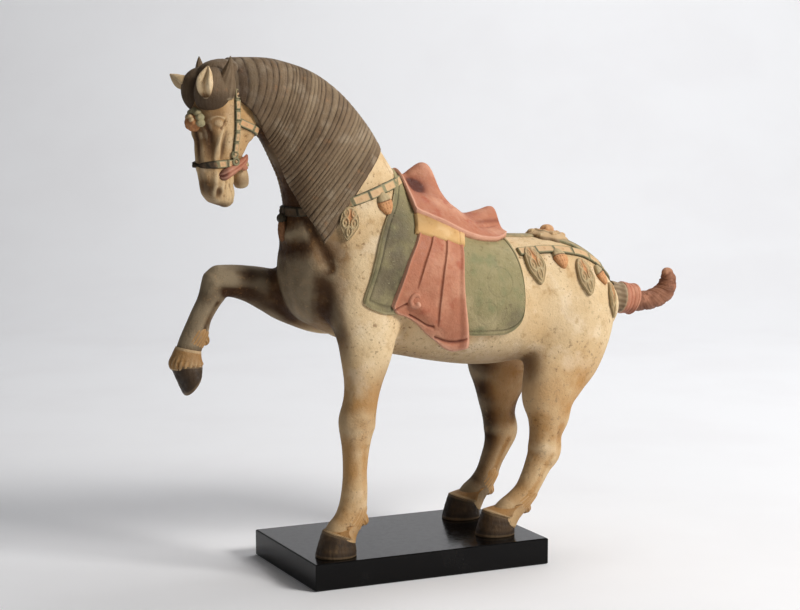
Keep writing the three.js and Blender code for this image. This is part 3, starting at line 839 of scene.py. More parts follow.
def strand_relief(across, along):
    """The height of the combed strands, how deep each point lies in a groove, and how pale its strand is."""
    t = np.linspace(0, 1, across)[None]
    r = np.linspace(0, 1, along)[:, None]
    draw = np.random.default_rng(11)
    wander = 0.012 * np.sin(5 * t * np.pi + 3 * r) * (1 - r)
    uneven = 0.010 * np.sin(17 * t) + 0.006 * np.sin(41 * t + 1)
    strand = (t + wander + uneven) * STRANDS
    number = np.clip(strand.astype(int), 0, STRANDS - 1)
    deep = draw.uniform(0.75, 1.25, STRANDS)[number]
    flow = np.abs(np.sin(np.pi * strand))
    ridge = flow ** 0.3
    fine = 0.5 + 0.5 * np.cos(2 * np.pi * strand * 3 + draw.uniform(0, 6, STRANDS)[number])
    start = rise(r, 0.015, 0.12 + 0.06 * t)
    pale = draw.uniform(0.0, 0.3, STRANDS)[number] * (1 - r * 0.4)
    height = (1.5 * (ridge - 1) * deep - 0.3 * fine * flow) * start
    return height, (1 - ridge) * start * deep * 1.15 + 0.12 * fine, pale * ridge


ACROSS, ALONG = STRANDS * 8 + 1, 78
height, groove, pale = strand_relief(ACROSS, ALONG)
sides = [mane_side(side, ACROSS, ALONG) for side in (NEAR, FAR)]
(near_at, near_out), (far_at, far_out) = sides
at = np.concatenate([near_at[::-1], far_at[1:]])
out = np.concatenate([near_out[::-1], far_out[1:]])
height = np.concatenate([height[::-1], height[1:]])
groove = np.concatenate([groove[::-1], groove[1:]])
pale = np.concatenate([pale[::-1], pale[1:]])
i = np.abs(np.linspace(-1, 1, len(at)))[:, None]
j = np.linspace(0, 1, ACROSS)[None]
# the layer thins a little to its cut edges, and keeps its full height along the crest
edge = np.minimum(rise(1 - i, 0, 0.02), rise(1 - j, 0, 0.012)) * 0.7 + 0.3
edge = edge * (0.55 + 0.45 * rise(1 - j, 0, 0.2)) * (0.8 + 0.2 * rise(j, 0, 0.1))
outer = at + out * (MANE_PROUD * edge + height * (0.4 + 0.6 * edge))[..., None]
mane = made("mane", *layer(outer, at - out * 3))
mark(mane, "hollow", with_back(groove, 1.0))
mark(mane, "edge", with_back(pale * 1.6))
mark(mane, "stain_and_shade", with_back(0.75 * rise(0.22 - j, 0, 0.22) * rise(i, 0.1, 0.5)))
mane.data.materials.append(hair)
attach(mane, "root")

# ---------------------------------------------------------------------------------------------------------
# The feet: dark painted hooves with scored horn, a fringe of hair over each, and a tuft behind each fetlock.
# The hair is cut into the clay with short slanting strokes. Three hooves stand on the plinth, one is raised.
# ---------------------------------------------------------------------------------------------------------


def painted_horn():
    """Dark brown paint, nearly black low down, rubbed to buff on the ribs of the horn."""
    f = Finish("painted_horn", tint(76, 57, 37))
    f.wash(tint(44, 32, 21), f.cloud(60, 6, 0.4, 0.65, 0.8))
    f.wash(tint(116, 92, 62), f.cloud(110, 8, 0.56, 0.72, 0.5, stretch=(1, 1, 0.4)))
    # near black low down on the horn, and over the far hooves as painted shade
    f.wash(tint(36, 26, 18), f.kept("stain_and_shade", 0.7))
    f.wash(tint(26, 19, 13), f.kept("hollow", 0.8))
    f.wash(tint(142, 118, 88), f.kept("edge", 0.5))
    f.pit(f.cloud(260, 6, 0.3, 0.7, stretch=(1, 1, 0.25)), 0.4, 0.0008)
    f.pit(f.cloud(1200, 4, 0.35, 0.7), 0.3, 0.0003)
    f.shader.inputs["Specular IOR Level"].default_value = 0.3
    return f.done(0.7, 0.45)


horn = painted_horn()


def level_of(toe, heel, y, half, turn):
    """Points round an oval that runs from toe to heel."""
    toe, heel = np.array(toe, float), np.array(heel, float)
    part = (1 + np.cos(turn)) / 2
    flat = toe + (heel - toe) * part[:, None]
    blunt = np.abs(np.sin(turn)) ** 0.9 * np.sign(np.sin(turn))
    return np.stack([flat[:, 0], y + half * blunt, flat[:, 1]], 1)


HOOF_SIDES = 96


def hoof(y, sole, coronet, half):
    """The horn between the sole's oval and the coronet's, with growth rings and fine upright ribs."""
    turn = np.linspace(0, 2 * np.pi, HOOF_SIDES, endpoint=False)
    low, top = level_of(*sole, y, half, turn), level_of(*coronet, y, half * 0.84, turn)
    t = np.array([0, 0.02, 0.06, *np.linspace(0.1, 1, 30)])
    middle = (low.mean(0) + (top.mean(0) - low.mean(0)) * t[:, None])[:, None]
    rows = low + (top - low) * t[:, None, None]
    swell = 1 + 0.02 * np.sin(np.pi * t) - 0.035 * (1 - rise(t, 0, 0.05))
    swell = swell + 0.004 * np.sin(26 * t) * rise(t, 0.1, 0.3)
    ribs = 0.006 * np.cos(48 * turn)[None] * rise(t, 0.05, 0.3)[:, None]
    rows = middle + (rows - middle) * (swell[:, None] + ribs)[..., None]
    return np.vstack([rows.reshape(-1, 3), low.mean(0), top.mean(0)]), capped(len(t), HOOF_SIDES)


FRINGE_ROWS, FRINGE_SIDES = 26, 192


def fringe(y, coronet, half, pastern, lean):
    """Hair over the coronet: a flaring collar cut into slanting strokes, ragged below."""
    turn = np.linspace(0, 2 * np.pi, FRINGE_SIDES, endpoint=False)
    low = level_of(*coronet, y, half * 0.9, turn)
    centre, size = np.array(pastern[:3], float), pastern[3:]
    top = centre + np.stack([-size[0] * np.cos(turn), size[1] * np.sin(turn), 0 * turn], 1)
    middle = low.mean(0)
    low = middle + (low - middle) * 1.06
    sink = unit((middle - centre)[None])[0]
    t = np.linspace(0, 1, FRINGE_ROWS)[:, None]
    stroke = np.abs(np.sin(20 * turn[None] + lean * (1 - t))) ** 0.7
    ragged = (1 - stroke) * 2.6
    rows = top + (low - top) * t[..., None]
    rows = rows + sink * ((1.6 - ragged) * t**3)[..., None]
    axis = centre + (middle - centre) * t
    outward = rows - axis[:, None]
    wide = 1 + 0.10 * np.sin(np.pi * t) ** 1.2 - 0.09 * (1 - rise(t, 0, 0.1)) - 0.16 * rise(t, 0.94, 1)
    cut = -0.055 * (1 - stroke) * rise(t, 0.15, 0.5)
    rows = axis[:, None] + outward * (wide + cut)[..., None]
    return np.vstack([rows.reshape(-1, 3), top.mean(0), low.mean(0)]), capped(FRINGE_ROWS, FRINGE_SIDES)


def tuft(heel, way):
    """A fetlock tuft: a short pointed lock that points down and back."""
    x, y, z = heel
    rows = [
        (x - 15 * way[0], y, z + 15 * way[1], 10, 9.5), (x - 7 * way[0], y, z + 7 * way[1], 9.5, 8.5),
        (x - 1 * way[0], y, z + 1 * way[1], 6, 5), (x + 1 * way[0], y, z - 1.5 * way[1], 2, 2),
    ]
    return tube(rows, 30, 48, relief=lambda t, turn: -0.9 * (0.5 + 0.5 * np.cos(9 * turn + 5 * t)) ** 2)


def strokes(rows, start, stop, facing, count, lean):
    """A thin sleeve over a fetlock with the hair cut into it, sinking back into the leg at both ends."""

    def relief(t, turn):
        here = rise(t, 0, 0.22) * rise(1 - t, 0, 0.22)
        toward = 0.5 + 0.5 * np.cos(turn - facing)
        cut = (0.5 + 0.5 * np.cos(count * turn + lean * t)) ** 1.6
        return here * 1.0 - 1.3 + here * toward**2 * (1.1 - 1.1 * cut)

    part = through(rows, np.linspace(start, stop, 8))
    return tube(part, 34, 96, relief=relief)


FEET = [
    # across, sole toe and heel, coronet toe and heel, half width, pastern centre and size, tuft and its way
    (-62, [(-130, 30), (-84, 30)], [(-121, 59), (-86, 47)], 20, (-95, -62, 66, 16, 15), (-71, -61, 63),
    (1, 1)),
    (-47, [(74, 30), (120, 30)], [(83, 59), (118, 47)], 20, (123, -49, 66, 15.5, 14), (138, -50, 54),
    (0.9, 1)),
    (45, [(77, 30), (123, 30)], [(86, 59), (121, 47)], 20, (125, 46, 67, 15, 14), (141, 46, 56), (0.9, 1)),
]
horns = [hoof(y, sole, coronet, half) for y, sole, coronet, half, *_ in FEET]
horns.append(hoof(46, [(-241, 200), (-223, 225)], [(-257, 236), (-221, 232)], 20))
hooves = made("hooves", *weld(horns))
mark_hollows(hooves, 5, 0.6)
tread = points_of(hooves)
# darker low down on the horn, and all over the far hooves as painted shade
mark(hooves, "stain_and_shade", 0.9 * rise(-tread[:, 2], -42, -31) * (tread[:, 2] < 100) + 0.5 * (tread[:, 1] > 0))
hooves.data.materials.append(horn)
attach(hooves, "root")



def raised_fringe(t, turn):
    return -0.8 * (0.5 + 0.5 * np.cos(20 * turn + 4 * t)) ** 1.5 * rise(t, 0.2, 0.6)


hairy = []
for y, _, coronet, half, pastern, heel, way in FEET:
    hairy += [fringe(y, coronet, half, pastern, 2.5 * way[0]), tuft(heel, way)]
raised_rows = [
    (-236, 46, 252, 14.5, 13.4), (-238, 46, 243, 17, 15), (-239, 46, 236, 19.5, 17.4),
    (-239, 46, 230, 17.5, 16)
]
hairy.append(tube(raised_rows, 30, 120, relief=raised_fringe))
hairy.append(tuft((-215, 46, 257), (1, 1)))
hairy += [
    strokes(NEAR_FORELEG, 0.70, 0.86, 0, 22, 9), strokes(NEAR_HIND_LEG, 0.73, 0.87, 0, 22, 9),
    strokes(FAR_HIND_LEG, 0.73, 0.87, 0, 22, 9), strokes(RAISED_CANNON, 0.36, 0.62, 0, 22, 9),
]
feathers = made("fetlock_hair", *weld(hairy))
mark_hollows(feathers, 4, 0.32)
down = points_of(feathers)[:, 2]
mark(feathers, "stain_and_shade", 0.25 + 0.3 * rise(-down, -72, -44) + 0.2 * (down > 200))
mark(feathers, "gold", 0.9 + 0 * down)
feathers.data.materials.append(slip)
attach(feathers, "root")

# ---------------------------------------------------------------------------------------------------------
# The saddle cloth: a square-cut cloth with rounded corners over the back, down to the belly on each side.
# A clay layer painted green with an incised border line and pairs of scratched circles on its hind panels.
# ---------------------------------------------------------------------------------------------------------
CLOTH_PROUD = 3.9
CLOTH_TOP = [(-12, 428), (4, 428), (30, 420), (60, 410), (88, 400), (106, 392), (121, 388)]
CLOTH_FOOT = [
    (-78, 315), (-76, 310), (-56, 302), (-34, 295), (-8, 283), (15, 273), (34, 267), (54, 265), (74, 264),
    (92, 264), (102, 267), (109, 272), (114, 281), (116, 300)
]
FRONT_BOW = [0, 6, 8, 11, 11, 9, 6, 3, 1, 0]
CIRCLES = [(85, 322, 16), (68, 290, 12)]


def painted_green():
    """Thin grey-green paint over buff, worn through at the edges, smoked dark in patches."""
    f = Finish("painted_green", tint(148, 138, 100))
    f.wash(tint(174, 159, 122), f.cloud(30, 7, 0.46, 0.66, 0.7))
    f.wash(tint(118, 124, 88), f.cloud(48, 8, 0.48, 0.7, 0.55))
    f.wash(tint(106, 90, 62), f.cloud(110, 9, 0.54, 0.7, 0.5, rough=0.7))
    f.wash(tint(92, 82, 66), f.both(f.kept("stain_and_shade", 0.8), f.cloud(60, 8, 0.2, 0.6)))
    f.wash(tint(52, 44, 28), f.kept("hollow", 0.85))
    f.wash(tint(196, 182, 142), f.kept("edge", 0.7))
    f.wash(tint(196, 188, 148), f.cloud(500, 4, 0.66, 0.72, 0.5))
    f.wash(tint(60, 50, 34), f.cloud(900, 3, 0.66, 0.73, 0.6))
    f.pit(f.cloud(500, 8, 0.3, 0.7), 0.4, 0.0006)
    f.pit(f.cloud(90, 5, 0.35, 0.65), 0.3, 0.0014)
    f.shader.inputs["Specular IOR Level"].default_value = 0.25
    return f.done(0.82, 0.62)


green = painted_green()


def cloth_side(side, u, s):
    """The cloth on one side: u runs back along the horse, s from the spine down to the hem."""
    top, foot = through(CLOTH_TOP, u), through(CLOTH_FOOT, u)
    bow = through([(b, 0) for b in FRONT_BOW], s)[:, 0]
    flat = top[:, None] + (foot - top)[:, None] * s[None, :, None]
    flat[..., 0] -= bow[None] * ((1 - u) ** 2)[:, None]
    return flat, *laid(TRUNK, flat[..., 0], flat[..., 1], side)


u, s = np.linspace(0, 1, 150), np.linspace(0, 1, 106)
halves = [cloth_side(side, u, s) for side in (NEAR, FAR)]
flat, at, out = (np.concatenate([halves[0][k][:, ::-1], halves[1][k][:, 1:]], 1) for k in range(3))
rim = np.minimum(
    np.minimum(np.linalg.norm(flat - flat[:1], axis=-1), np.linalg.norm(flat - flat[-1:], axis=-1)),
    np.minimum(np.linalg.norm(flat - flat[:, :1], axis=-1), np.linalg.norm(flat - flat[:, -1:], axis=-1)),
)
lift = CLOTH_PROUD * (0.62 + 0.38 * rise(rim, 0, 2.2))
line = np.exp(-(((rim - 6.0) / 0.85) ** 2))
for x, z, radius in CIRCLES:
    away = np.hypot(flat[..., 0] - x, flat[..., 1] - z) - radius
    line = np.maximum(line, 0.45 * np.exp(-((away / 0.8) ** 2)))
lift = lift - 0.75 * line + 0.35 * np.exp(-(((rim - 3.2) / 2.0) ** 2))
cloth = made("saddle_cloth", *layer(at + out * lift[..., None], at - out * 2.5))
mark(cloth, "hollow", with_back(line * 0.8))
mark(cloth, "edge", with_back(np.exp(-((rim / 1.6) ** 2))))
SMOKED = [(100, 0, 284, 16, 9, 16, 0.8), (-50, 0, 318, 24, 9, 30, 0.7), (-40, 0, 380, 30, 9, 60, 0.95)]
smoke = pushes(at.reshape(-1, 3) * (1, 0, 1), SMOKED)
mark(cloth, "stain_and_shade", with_back(smoke.reshape(rim.shape)))
cloth.data.materials.append(green)
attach(cloth, "root")

# ---------------------------------------------------------------------------------------------------------
# The saddle: a high-pommelled wooden saddle shown in red paint, with a low cantle and short curved flaps.
# Built up in clay over the cloth, painted terracotta red and rubbed pink where hands have held it.
# ---------------------------------------------------------------------------------------------------------
# Back along the horse: x, crest height, lower edge height, half width, and how much of the rise is in the
# narrow ridge.
SADDLE = [
    (-7, 428, 397, 49, 0.05), (2, 435, 392, 53, 0.35), (12, 446, 388, 56, 0.55), (25, 453.5, 384, 59, 0.62),
    (35, 448, 380, 60, 0.55),
    (44, 425, 376, 60, 0.3), (57, 404, 371, 58, 0.06), (76, 394, 366, 52, 0.1), (97, 398, 364, 44, 0.42),
    (111, 402, 365, 34, 0.5), (118, 399, 366, 27, 0.45), (122, 386, 366, 22, 0.2),
]


def painted_red():
    """Terracotta red paint, rubbed to pink on the ridges, deep red in the folds and darker where painted
    shade is marked.
    """
    f = Finish("painted_red", tint(178, 114, 86))
    f.wash(tint(204, 148, 118), f.cloud(28, 7, 0.44, 0.68, 0.8))
    f.wash(tint(168, 88, 62), f.cloud(60, 8, 0.54, 0.7, 0.7))
    f.wash(tint(196, 136, 96), f.cloud(130, 9, 0.58, 0.72, 0.5, rough=0.7))
    # darker red where stain and painted shade are marked
    f.wash(tint(128, 62, 40), f.kept("stain_and_shade", 0.85))
    f.wash(tint(78, 36, 24), f.kept("stain_and_shade", 0.9, 0.6))
    f.wash(tint(94, 38, 26), f.kept("hollow", 0.85))
    f.wash(tint(222, 172, 146), f.kept("edge", 0.6))
    f.wash(tint(110, 64, 48), f.cloud(700, 4, 0.66, 0.72, 0.5))
    f.wash(tint(226, 190, 164), f.cloud(950, 3, 0.67, 0.73, 0.4))
    f.pit(f.cloud(450, 8, 0.3, 0.7), 0.3, 0.0006)
    f.pit(f.cloud(70, 4, 0.35, 0.65), 0.3, 0.0015)
    f.shader.inputs["Specular IOR Level"].default_value = 0.3
    return f.done(0.72, 0.5)


red = painted_red()
rows = through(SADDLE, np.linspace(0, 1, 130))
v = np.linspace(-1, 1, 121)[None]
x, crest, edge, half, narrow = (rows[:, k, None] for k in range(5))
flap = 1 - np.abs(v) ** 1.9
ridge = np.exp(-((np.abs(v) / 0.36) ** 2.4))
z = edge + (crest - edge) * (flap * (1 - narrow) + ridge * narrow)
# the flaps flare and roll out a little along their front and lower edges
roll = 3.0 * np.exp(-(((x + 7) / 7) ** 2)) * (np.abs(v) ** 1.2)
z = z + 1.6 * np.exp(-(((1 - np.abs(v)) / 0.06) ** 2))
top = np.stack(np.broadcast_arrays(x, half * v, z), -1)
top[..., 1] += roll * np.sign(v)
# the saddle rests on the cloth: no point of it lies nearer the skin than this, and its flanks ease up to it
FLAP_PROUD = 10.2
SADDLE_DEPTH = 0.13  # how far down to the middle of the trunk the saddle's clay goes
core = top * (1, 0, 0) + (0, 0, 320)
ways = unit(top - core)
needed = np.zeros(top.shape[:2])
for i, j in np.ndindex(needed.shape):
    hit = hide.ray_cast(Vector(core[i, j] + ways[i, j] * 130), Vector(-ways[i, j]), 120)[0]
    if hit is not None:
        least = np.linalg.norm(np.array(hit) - core[i, j]) + FLAP_PROUD
        needed[i, j] = max(0.0, least - np.linalg.norm(top[i, j] - core[i, j]))
eased = needed
for _ in range(140):
    near = np.pad(eased, 1, mode="edge")
    eased = np.maximum(needed, (near[:-2, 1:-1] + near[2:, 1:-1] + near[1:-1, :-2] + near[1:-1, 2:]) / 4)
top += ways * eased[..., None]
groove = np.exp(-(((z - (edge + 0.42 * (crest - edge))) / 1.5) ** 2)) * rise(x, 66, 84) * rise(-x, -121, -108)
top[..., 2] -= 0.9 * groove
under = top + (core - top) * SADDLE_DEPTH
saddle = made("saddle", *plate(top, under))
mark_hollows(saddle, 8, 0.5)
seat = points_of(saddle)
# painted shade in the hollow under the front of the pommel, which faces away from the light; and a dark line
# low on the rear of the saddle
UNDER_POMMEL = [(10, -20, 424, 14, 14, 18, 1.2), (10, 20, 424, 14, 14, 18, 1.2), (2, 0, 430, 8, 30, 10, 0.8)]
front = pushes(seat, UNDER_POMMEL)
mark(saddle, "stain_and_shade", front + 0.7 * np.exp(-(((seat[:, 2] - 386) / 3) ** 2)) * rise(seat[:, 0], 70, 90))
saddle.data.materials.append(red)
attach(saddle, "root")

# ---------------------------------------------------------------------------------------------------------
# The hanging cloth: a pleated red cloth tucked under the saddle flap, its hem gathered into a knot and a
# pouch, below a plain ochre band. Modelled in clay over the saddle cloth, and painted red and ochre.
# ---------------------------------------------------------------------------------------------------------
SKIRT_LEFT = [(-9, 382), (-14, 370), (-26, 350), (-37, 325), (-45, 306)]
SKIRT_RIGHT = [(44, 366), (43, 355), (40, 328), (43, 295), (55, 252)]
SKIRT_HEM = [
    (-45, 306), (-38, 298), (-26, 292), (-12, 283), (2, 271), (15, 262), (28, 253), (42, 249), (56, 252)
]


def skirt_grid(u, s):
    """Side-view points of the hanging cloth: u across from its front edge, s down to the hem."""
    left, right, hem = through(SKIRT_LEFT, s), through(SKIRT_RIGHT, s), through(SKIRT_HEM, u)
    foot = np.array(SKIRT_HEM[0]) + (np.array(SKIRT_HEM[-1], float) - SKIRT_HEM[0]) * u[:, None]
    s, u = s[None, :, None], u[:, None, None]
    return left * (1 - u) + right * u + (hem[:, None] - foot[:, None]) * s**1.5


u, s = np.linspace(0, 1, 130), np.linspace(0, 1, 138)
U, S = np.meshgrid(u, s, indexing="ij")


def pleat(at, depth, sharp):
    """A sharp fold at u = at: up steeply from the front, then falling softly behind."""
    gap = U - at
    return depth * np.where(gap < 0, np.exp(gap / sharp), np.exp(-gap / 0.11))


def dent(at, sharp):
    return np.exp(-(((U - at) / sharp) ** 2))


fade = rise(S, -0.05, 0.06)
fold_a, fold_b = 0.315 - 0.03 * S, 0.61 + 0.02 * S
lift = 5.6 + 1.4 * S + 0 * U
pleat_a = pleat(fold_a, 1.7, 0.012) * rise(0.72 - S, 0, 0.12)
pleat_b = pleat(fold_b, 1.7, 0.012) * rise(0.9 - S, 0, 0.1)
dent_a = 0.6 * dent(fold_a - 0.03, 0.022) * rise(0.7 - S, 0, 0.1)
dent_b = 0.6 * dent(fold_b - 0.035, 0.025) * rise(0.88 - S, 0, 0.1)
lift += fade * (pleat_a + pleat_b)
lift -= fade * (dent_a + dent_b)
lift += 1.0 * np.exp(-(((U - 0.955) / 0.04) ** 2)) * fade - 0.5 * np.exp(-(((U - 0.90) / 0.04) ** 2)) * fade
lift += 1.2 * np.exp(-(((U - 0.03) / 0.03) ** 2)) + 1.0 * np.sin(np.pi * U) * S
# the pouch between the knot and the second pleat, and the dark slits under its two folds
pouch = np.exp(-(((U - 0.38) / 0.20) ** 2) - (((S - 0.83) / 0.07) ** 2))
lift += 3.6 * pouch


def slit(u0, s0, u1, s1, width, sag=0.0):
    """How near each point of the cloth is to a line across it."""
    t = np.clip(((U - u0) * (u1 - u0) + (S - s0) * (s1 - s0)) / ((u1 - u0) ** 2 + (s1 - s0) ** 2), 0, 1)
    gap = np.hypot(U - (u0 + (u1 - u0) * t), (S - (s0 + (s1 - s0) * t) - sag * np.sin(np.pi * t)) * 1.15)
    return np.exp(-((gap / width) ** 2))


slits = [
    slit(0.27, 0.955, 0.56, 0.90, 0.010, 0.01), slit(0.60, 0.965, 0.97, 0.925, 0.010, -0.01),
    slit(0.06, 0.99, 0.20, 0.86, 0.010),
]
for cut in slits:
    lift -= 2.2 * cut
lift += 2.4 * np.exp(-(((U - 0.80) / 0.16) ** 2) - (((S - 0.975) / 0.03) ** 2))
rim = np.minimum(np.minimum(U, 1 - U) * 90, (1 - S) * 110)
lift = lift * (0.55 + 0.45 * rise(rim, 0, 2.4))
folds = []
for side in (NEAR, FAR):
    flat = skirt_grid(u, s)
    at, out = laid(TRUNK, flat[..., 0], flat[..., 1], side)
    folds.append(layer(at + out * (lift + 0.6)[..., None], at))
skirt = made("hanging_cloth", *weld(folds))
mark_hollows(skirt, 7, 0.7)
# painted shade in the creases in front of each pleat and in the slits under the folds; darker along the hem
# too
crease_a = dent(fold_a - 0.012, 0.01) * (S < 0.7)
crease_b = dent(fold_b - 0.014, 0.01) * (S < 0.88)
deep = np.maximum.reduce([*slits, crease_a, crease_b])
mark(skirt, "stain_and_shade", np.tile(with_back(0.7 * deep + 0.6 * np.exp(-(((1 - S) / 0.03) ** 2)), 1.0), 2))
skirt.data.materials.append(red)
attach(skirt, "root")

# The knot: a rolled curl of the cloth where the first pleat is drawn up.
knots = []
for side in (NEAR, FAR):
    turn = np.linspace(-0.4, 1.75 * np.pi, 14)
    x, z = -19 + 5.2 * np.cos(turn), 310 + 5.4 * np.sin(turn)
    at, out = laid(TRUNK, x, z, side)
    ring = at + out * np.linspace(7.4, 9.4, 14)[:, None]
    knots.append(tube([(*p, r, r) for p, r in zip(ring, np.linspace(1.8, 3.9, 14))], 110, 28, (2, 3)))
knot = made("cloth_knot", *weld(knots))
mark_hollows(knot, 5, 0.3)
mark(knot, "stain_and_shade", 0.15 + 0 * points_of(knot)[:, 0])
knot.data.materials.append(red)
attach(knot, "root")


def painted_ochre():
    """Ochre paint over buff clay, with rubbed patches."""
    f = Finish("painted_ochre", tint(206, 164, 108))
    f.wash(tint(222, 186, 136), f.cloud(50, 7, 0.48, 0.68, 0.8))
    f.wash(tint(178, 128, 76), f.cloud(110, 8, 0.55, 0.7, 0.6))
    f.wash(tint(96, 64, 36), f.kept("hollow", 0.8))
    f.wash(tint(150, 118, 74), f.kept("stain_and_shade", 0.7))
    f.wash(tint(236, 208, 164), f.kept("edge", 0.5))
    f.wash(tint(110, 78, 46), f.cloud(900, 3, 0.66, 0.73, 0.5))
    f.pit(f.cloud(520, 5, 0.3, 0.7), 0.12, 0.0003)
    f.shader.inputs["Specular IOR Level"].default_value = 0.22
    return f.done(0.8, 0.62)


ochre = painted_ochre()
bands = []
u, s = np.linspace(0, 1, 90), np.linspace(0, 1, 24)
for side in (NEAR, FAR):
    top = np.array([(-9, 396)]) + (np.array([(50, 376)]) - [(-9, 396)]) * u[:, None]
    foot = np.array([(-14, 377)]) + (np.array([(45, 360)]) - [(-14, 377)]) * u[:, None]
    flat = top[:, None] + (foot - top)[:, None] * s[None, :, None]
    at, out = laid(TRUNK, flat[..., 0], flat[..., 1], side)
    rim = np.minimum(np.minimum(u, 1 - u)[:, None] * 58, (1 - s)[None] * 20)
    height = (8.4 - 1.2 * np.exp(-(((u - 0.86) / 0.012) ** 2))[:, None]) * (0.7 + 0.3 * rise(rim, 0, 1.8))
    bands.append(plate(at + out * height[..., None], at))
band = made("ochre_band", *weld(bands))
mark(band, "stain_and_shade", 0.6 * rise(points_of(band)[:, 2], 378, 396))
band.data.materials.append(ochre)
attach(band, "root")

# ---------------------------------------------------------------------------------------------------------
# The bridle: flat straps set with small oblong plaques, a bossed rosette on the brow and a red bit with two
# curved cheekpieces. All in low relief in the clay, with green rims round buff and orange centres.
# ---------------------------------------------------------------------------------------------------------


def painted_trim():
    """Green paint over the rims of the harness fittings, orange and buff in their centres."""
    f = Finish("painted_trim", tint(138, 132, 100))
    f.wash(tint(98, 100, 74), f.cloud(80, 6, 0.45, 0.65, 0.7))
    f.wash(tint(172, 152, 112), f.cloud(190, 7, 0.5, 0.68, 0.8))
    f.wash(tint(204, 168, 126), f.kept("centre"))
    f.wash(tint(196, 122, 70), f.kept("orange", 0.95))
    f.wash(tint(222, 160, 104), f.both(f.kept("orange"), f.cloud(260, 6, 0.5, 0.66, 0.7)))
    f.wash(tint(40, 32, 24), f.kept("hollow", 0.9))
    f.wash(tint(206, 190, 148), f.kept("edge", 0.55))
    # near black where marked: stain, and painted shade on the front of the noseband and across the chest
    f.wash(tint(38, 28, 19), f.kept("stain_and_shade", 0.92))
    f.pit(f.cloud(700, 6, 0.3, 0.7), 0.35, 0.0005)
    f.shader.inputs["Specular IOR Level"].default_value = 0.28
    return f.done(0.76, 0.55)


trim = painted_trim()


def plaque(along, across, length, gap):
    """Relief of a strap set with plaques: height, and how much each point is centre, orange or hollow."""
    part = (along / length) % 1
    edge = np.minimum(np.minimum(part, 1 - part) * length - gap, (1 - np.abs(across)) * 4.2)
    rim = np.exp(-(((edge - 0.7) / 0.55) ** 2))
    centre = rise(edge, 1.1, 1.7)
    boss = np.exp(-((((part - 0.5) * length) / 1.3) ** 2) - ((across * 4.2 / 1.3) ** 2))
    height = 0.9 * rise(edge, -0.2, 0.3) + 0.55 * rim - 0.35 * centre + 0.9 * boss
    return height, centre * (1 - boss * 0.4), boss, np.exp(-((edge / 0.35) ** 2))


def ribbon(at, out, proud, length, gap, orange=0.0, dark=0.0):
    """A strap from a grid of skin points: rows run along it, columns across."""
    middle = at[:, at.shape[1] // 2]
    run = np.concatenate([[0], np.cumsum(np.linalg.norm(np.diff(middle, axis=0), axis=1))])
    across = np.linspace(-1, 1, at.shape[1])[None]
    height, centre, boss, hollow = plaque(run[:, None], across, length, gap)
    lift = proud * (0.55 + 0.45 * rise(1 - np.abs(across), 0, 0.3)) + height
    points, faces = plate(at + out * lift[..., None], at - out * 1.5)
    low = np.zeros(lift.size)
    marks = {
        "centre": np.concatenate([centre.ravel(), low]),
        "orange": np.concatenate([np.maximum(boss * 0.45, centre * orange).ravel(), low]),
        "hollow": np.concatenate([hollow.ravel() * 0.7, low + 0.4]),
        "stain_and_shade": np.concatenate([(dark + 0 * lift).ravel(), low]),
        "edge": np.concatenate([(1 - hollow.ravel()) * 0.25, low]),
    }
    return (points, faces), marks


def fitted(name, made_of, finish):
    """One piece from several shapes that each carry their own marks."""
    piece = made(name, *weld([shape for shape, _ in made_of]))
    for key in ("centre", "orange", "hollow", "stain_and_shade", "edge"):
        mark(piece, key, np.concatenate([marks[key] for _, marks in made_of]))
    piece.data.materials.append(finish)
    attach(piece, "root")
    return piece


face_skin = points_of(head)
face_hide = BVHTree.FromPolygons(face_skin.tolist(), [tuple(p.vertices) for p in head.data.polygons])


def on_face(line, width, steps, across=9):
    """A strap's grid round the head: the line's rows are forward, near side, down and the way it faces."""
    line = through(line, np.linspace(0, 1, steps))
    run = unit(np.gradient(line[:, :3], axis=0))
    grid, outs = [], []
    for p, r, angle in zip(line[:, :3], run, line[:, 3]):
        out = np.array([np.cos(angle), np.sin(angle), 0.0])
        side = unit(np.cross(out, r)[None])[0]
        for w in np.linspace(-width / 2, width / 2, across):
            grid.append(p + side * w)
            outs.append(out)
    target, away = on_head(grid), on_head(outs) - on_head(np.zeros(3))
    found = target.copy()
    for i, (c, d) in enumerate(zip(target, away)):
        hit = face_hide.ray_cast(Vector(c + d * 40), Vector(-d), 60)[0]
        if hit is not None:
            found[i] = hit
    return found.reshape(steps, across, 3), away.reshape(steps, across, 3)


def turned(side, pairs):
    """Aims on the head's axis with the angle from straight ahead, mirrored for the far side."""
    return [(f, 0, a, side * np.radians(angle)) for f, a, angle in pairs]


bridle = []
# noseband: from the jaw on the far side, round the front of the nose to the jaw on the near side
NOSEBAND = [
    (12, 80, -165), (16, 78, -120), (22, 77.5, -80), (28, 78.5, -40), (33, 80.5, 0), (28, 78.5, 40),
    (22, 77.5, 80), (16, 78, 120), (12, 80, 165),
]
NOSEBAND_STEPS = 150
at, out = on_face(turned(1, NOSEBAND), 8.6, NOSEBAND_STEPS)
shape, marks = ribbon(at, out, 2.6, 10.5, 0.5, 0.3)
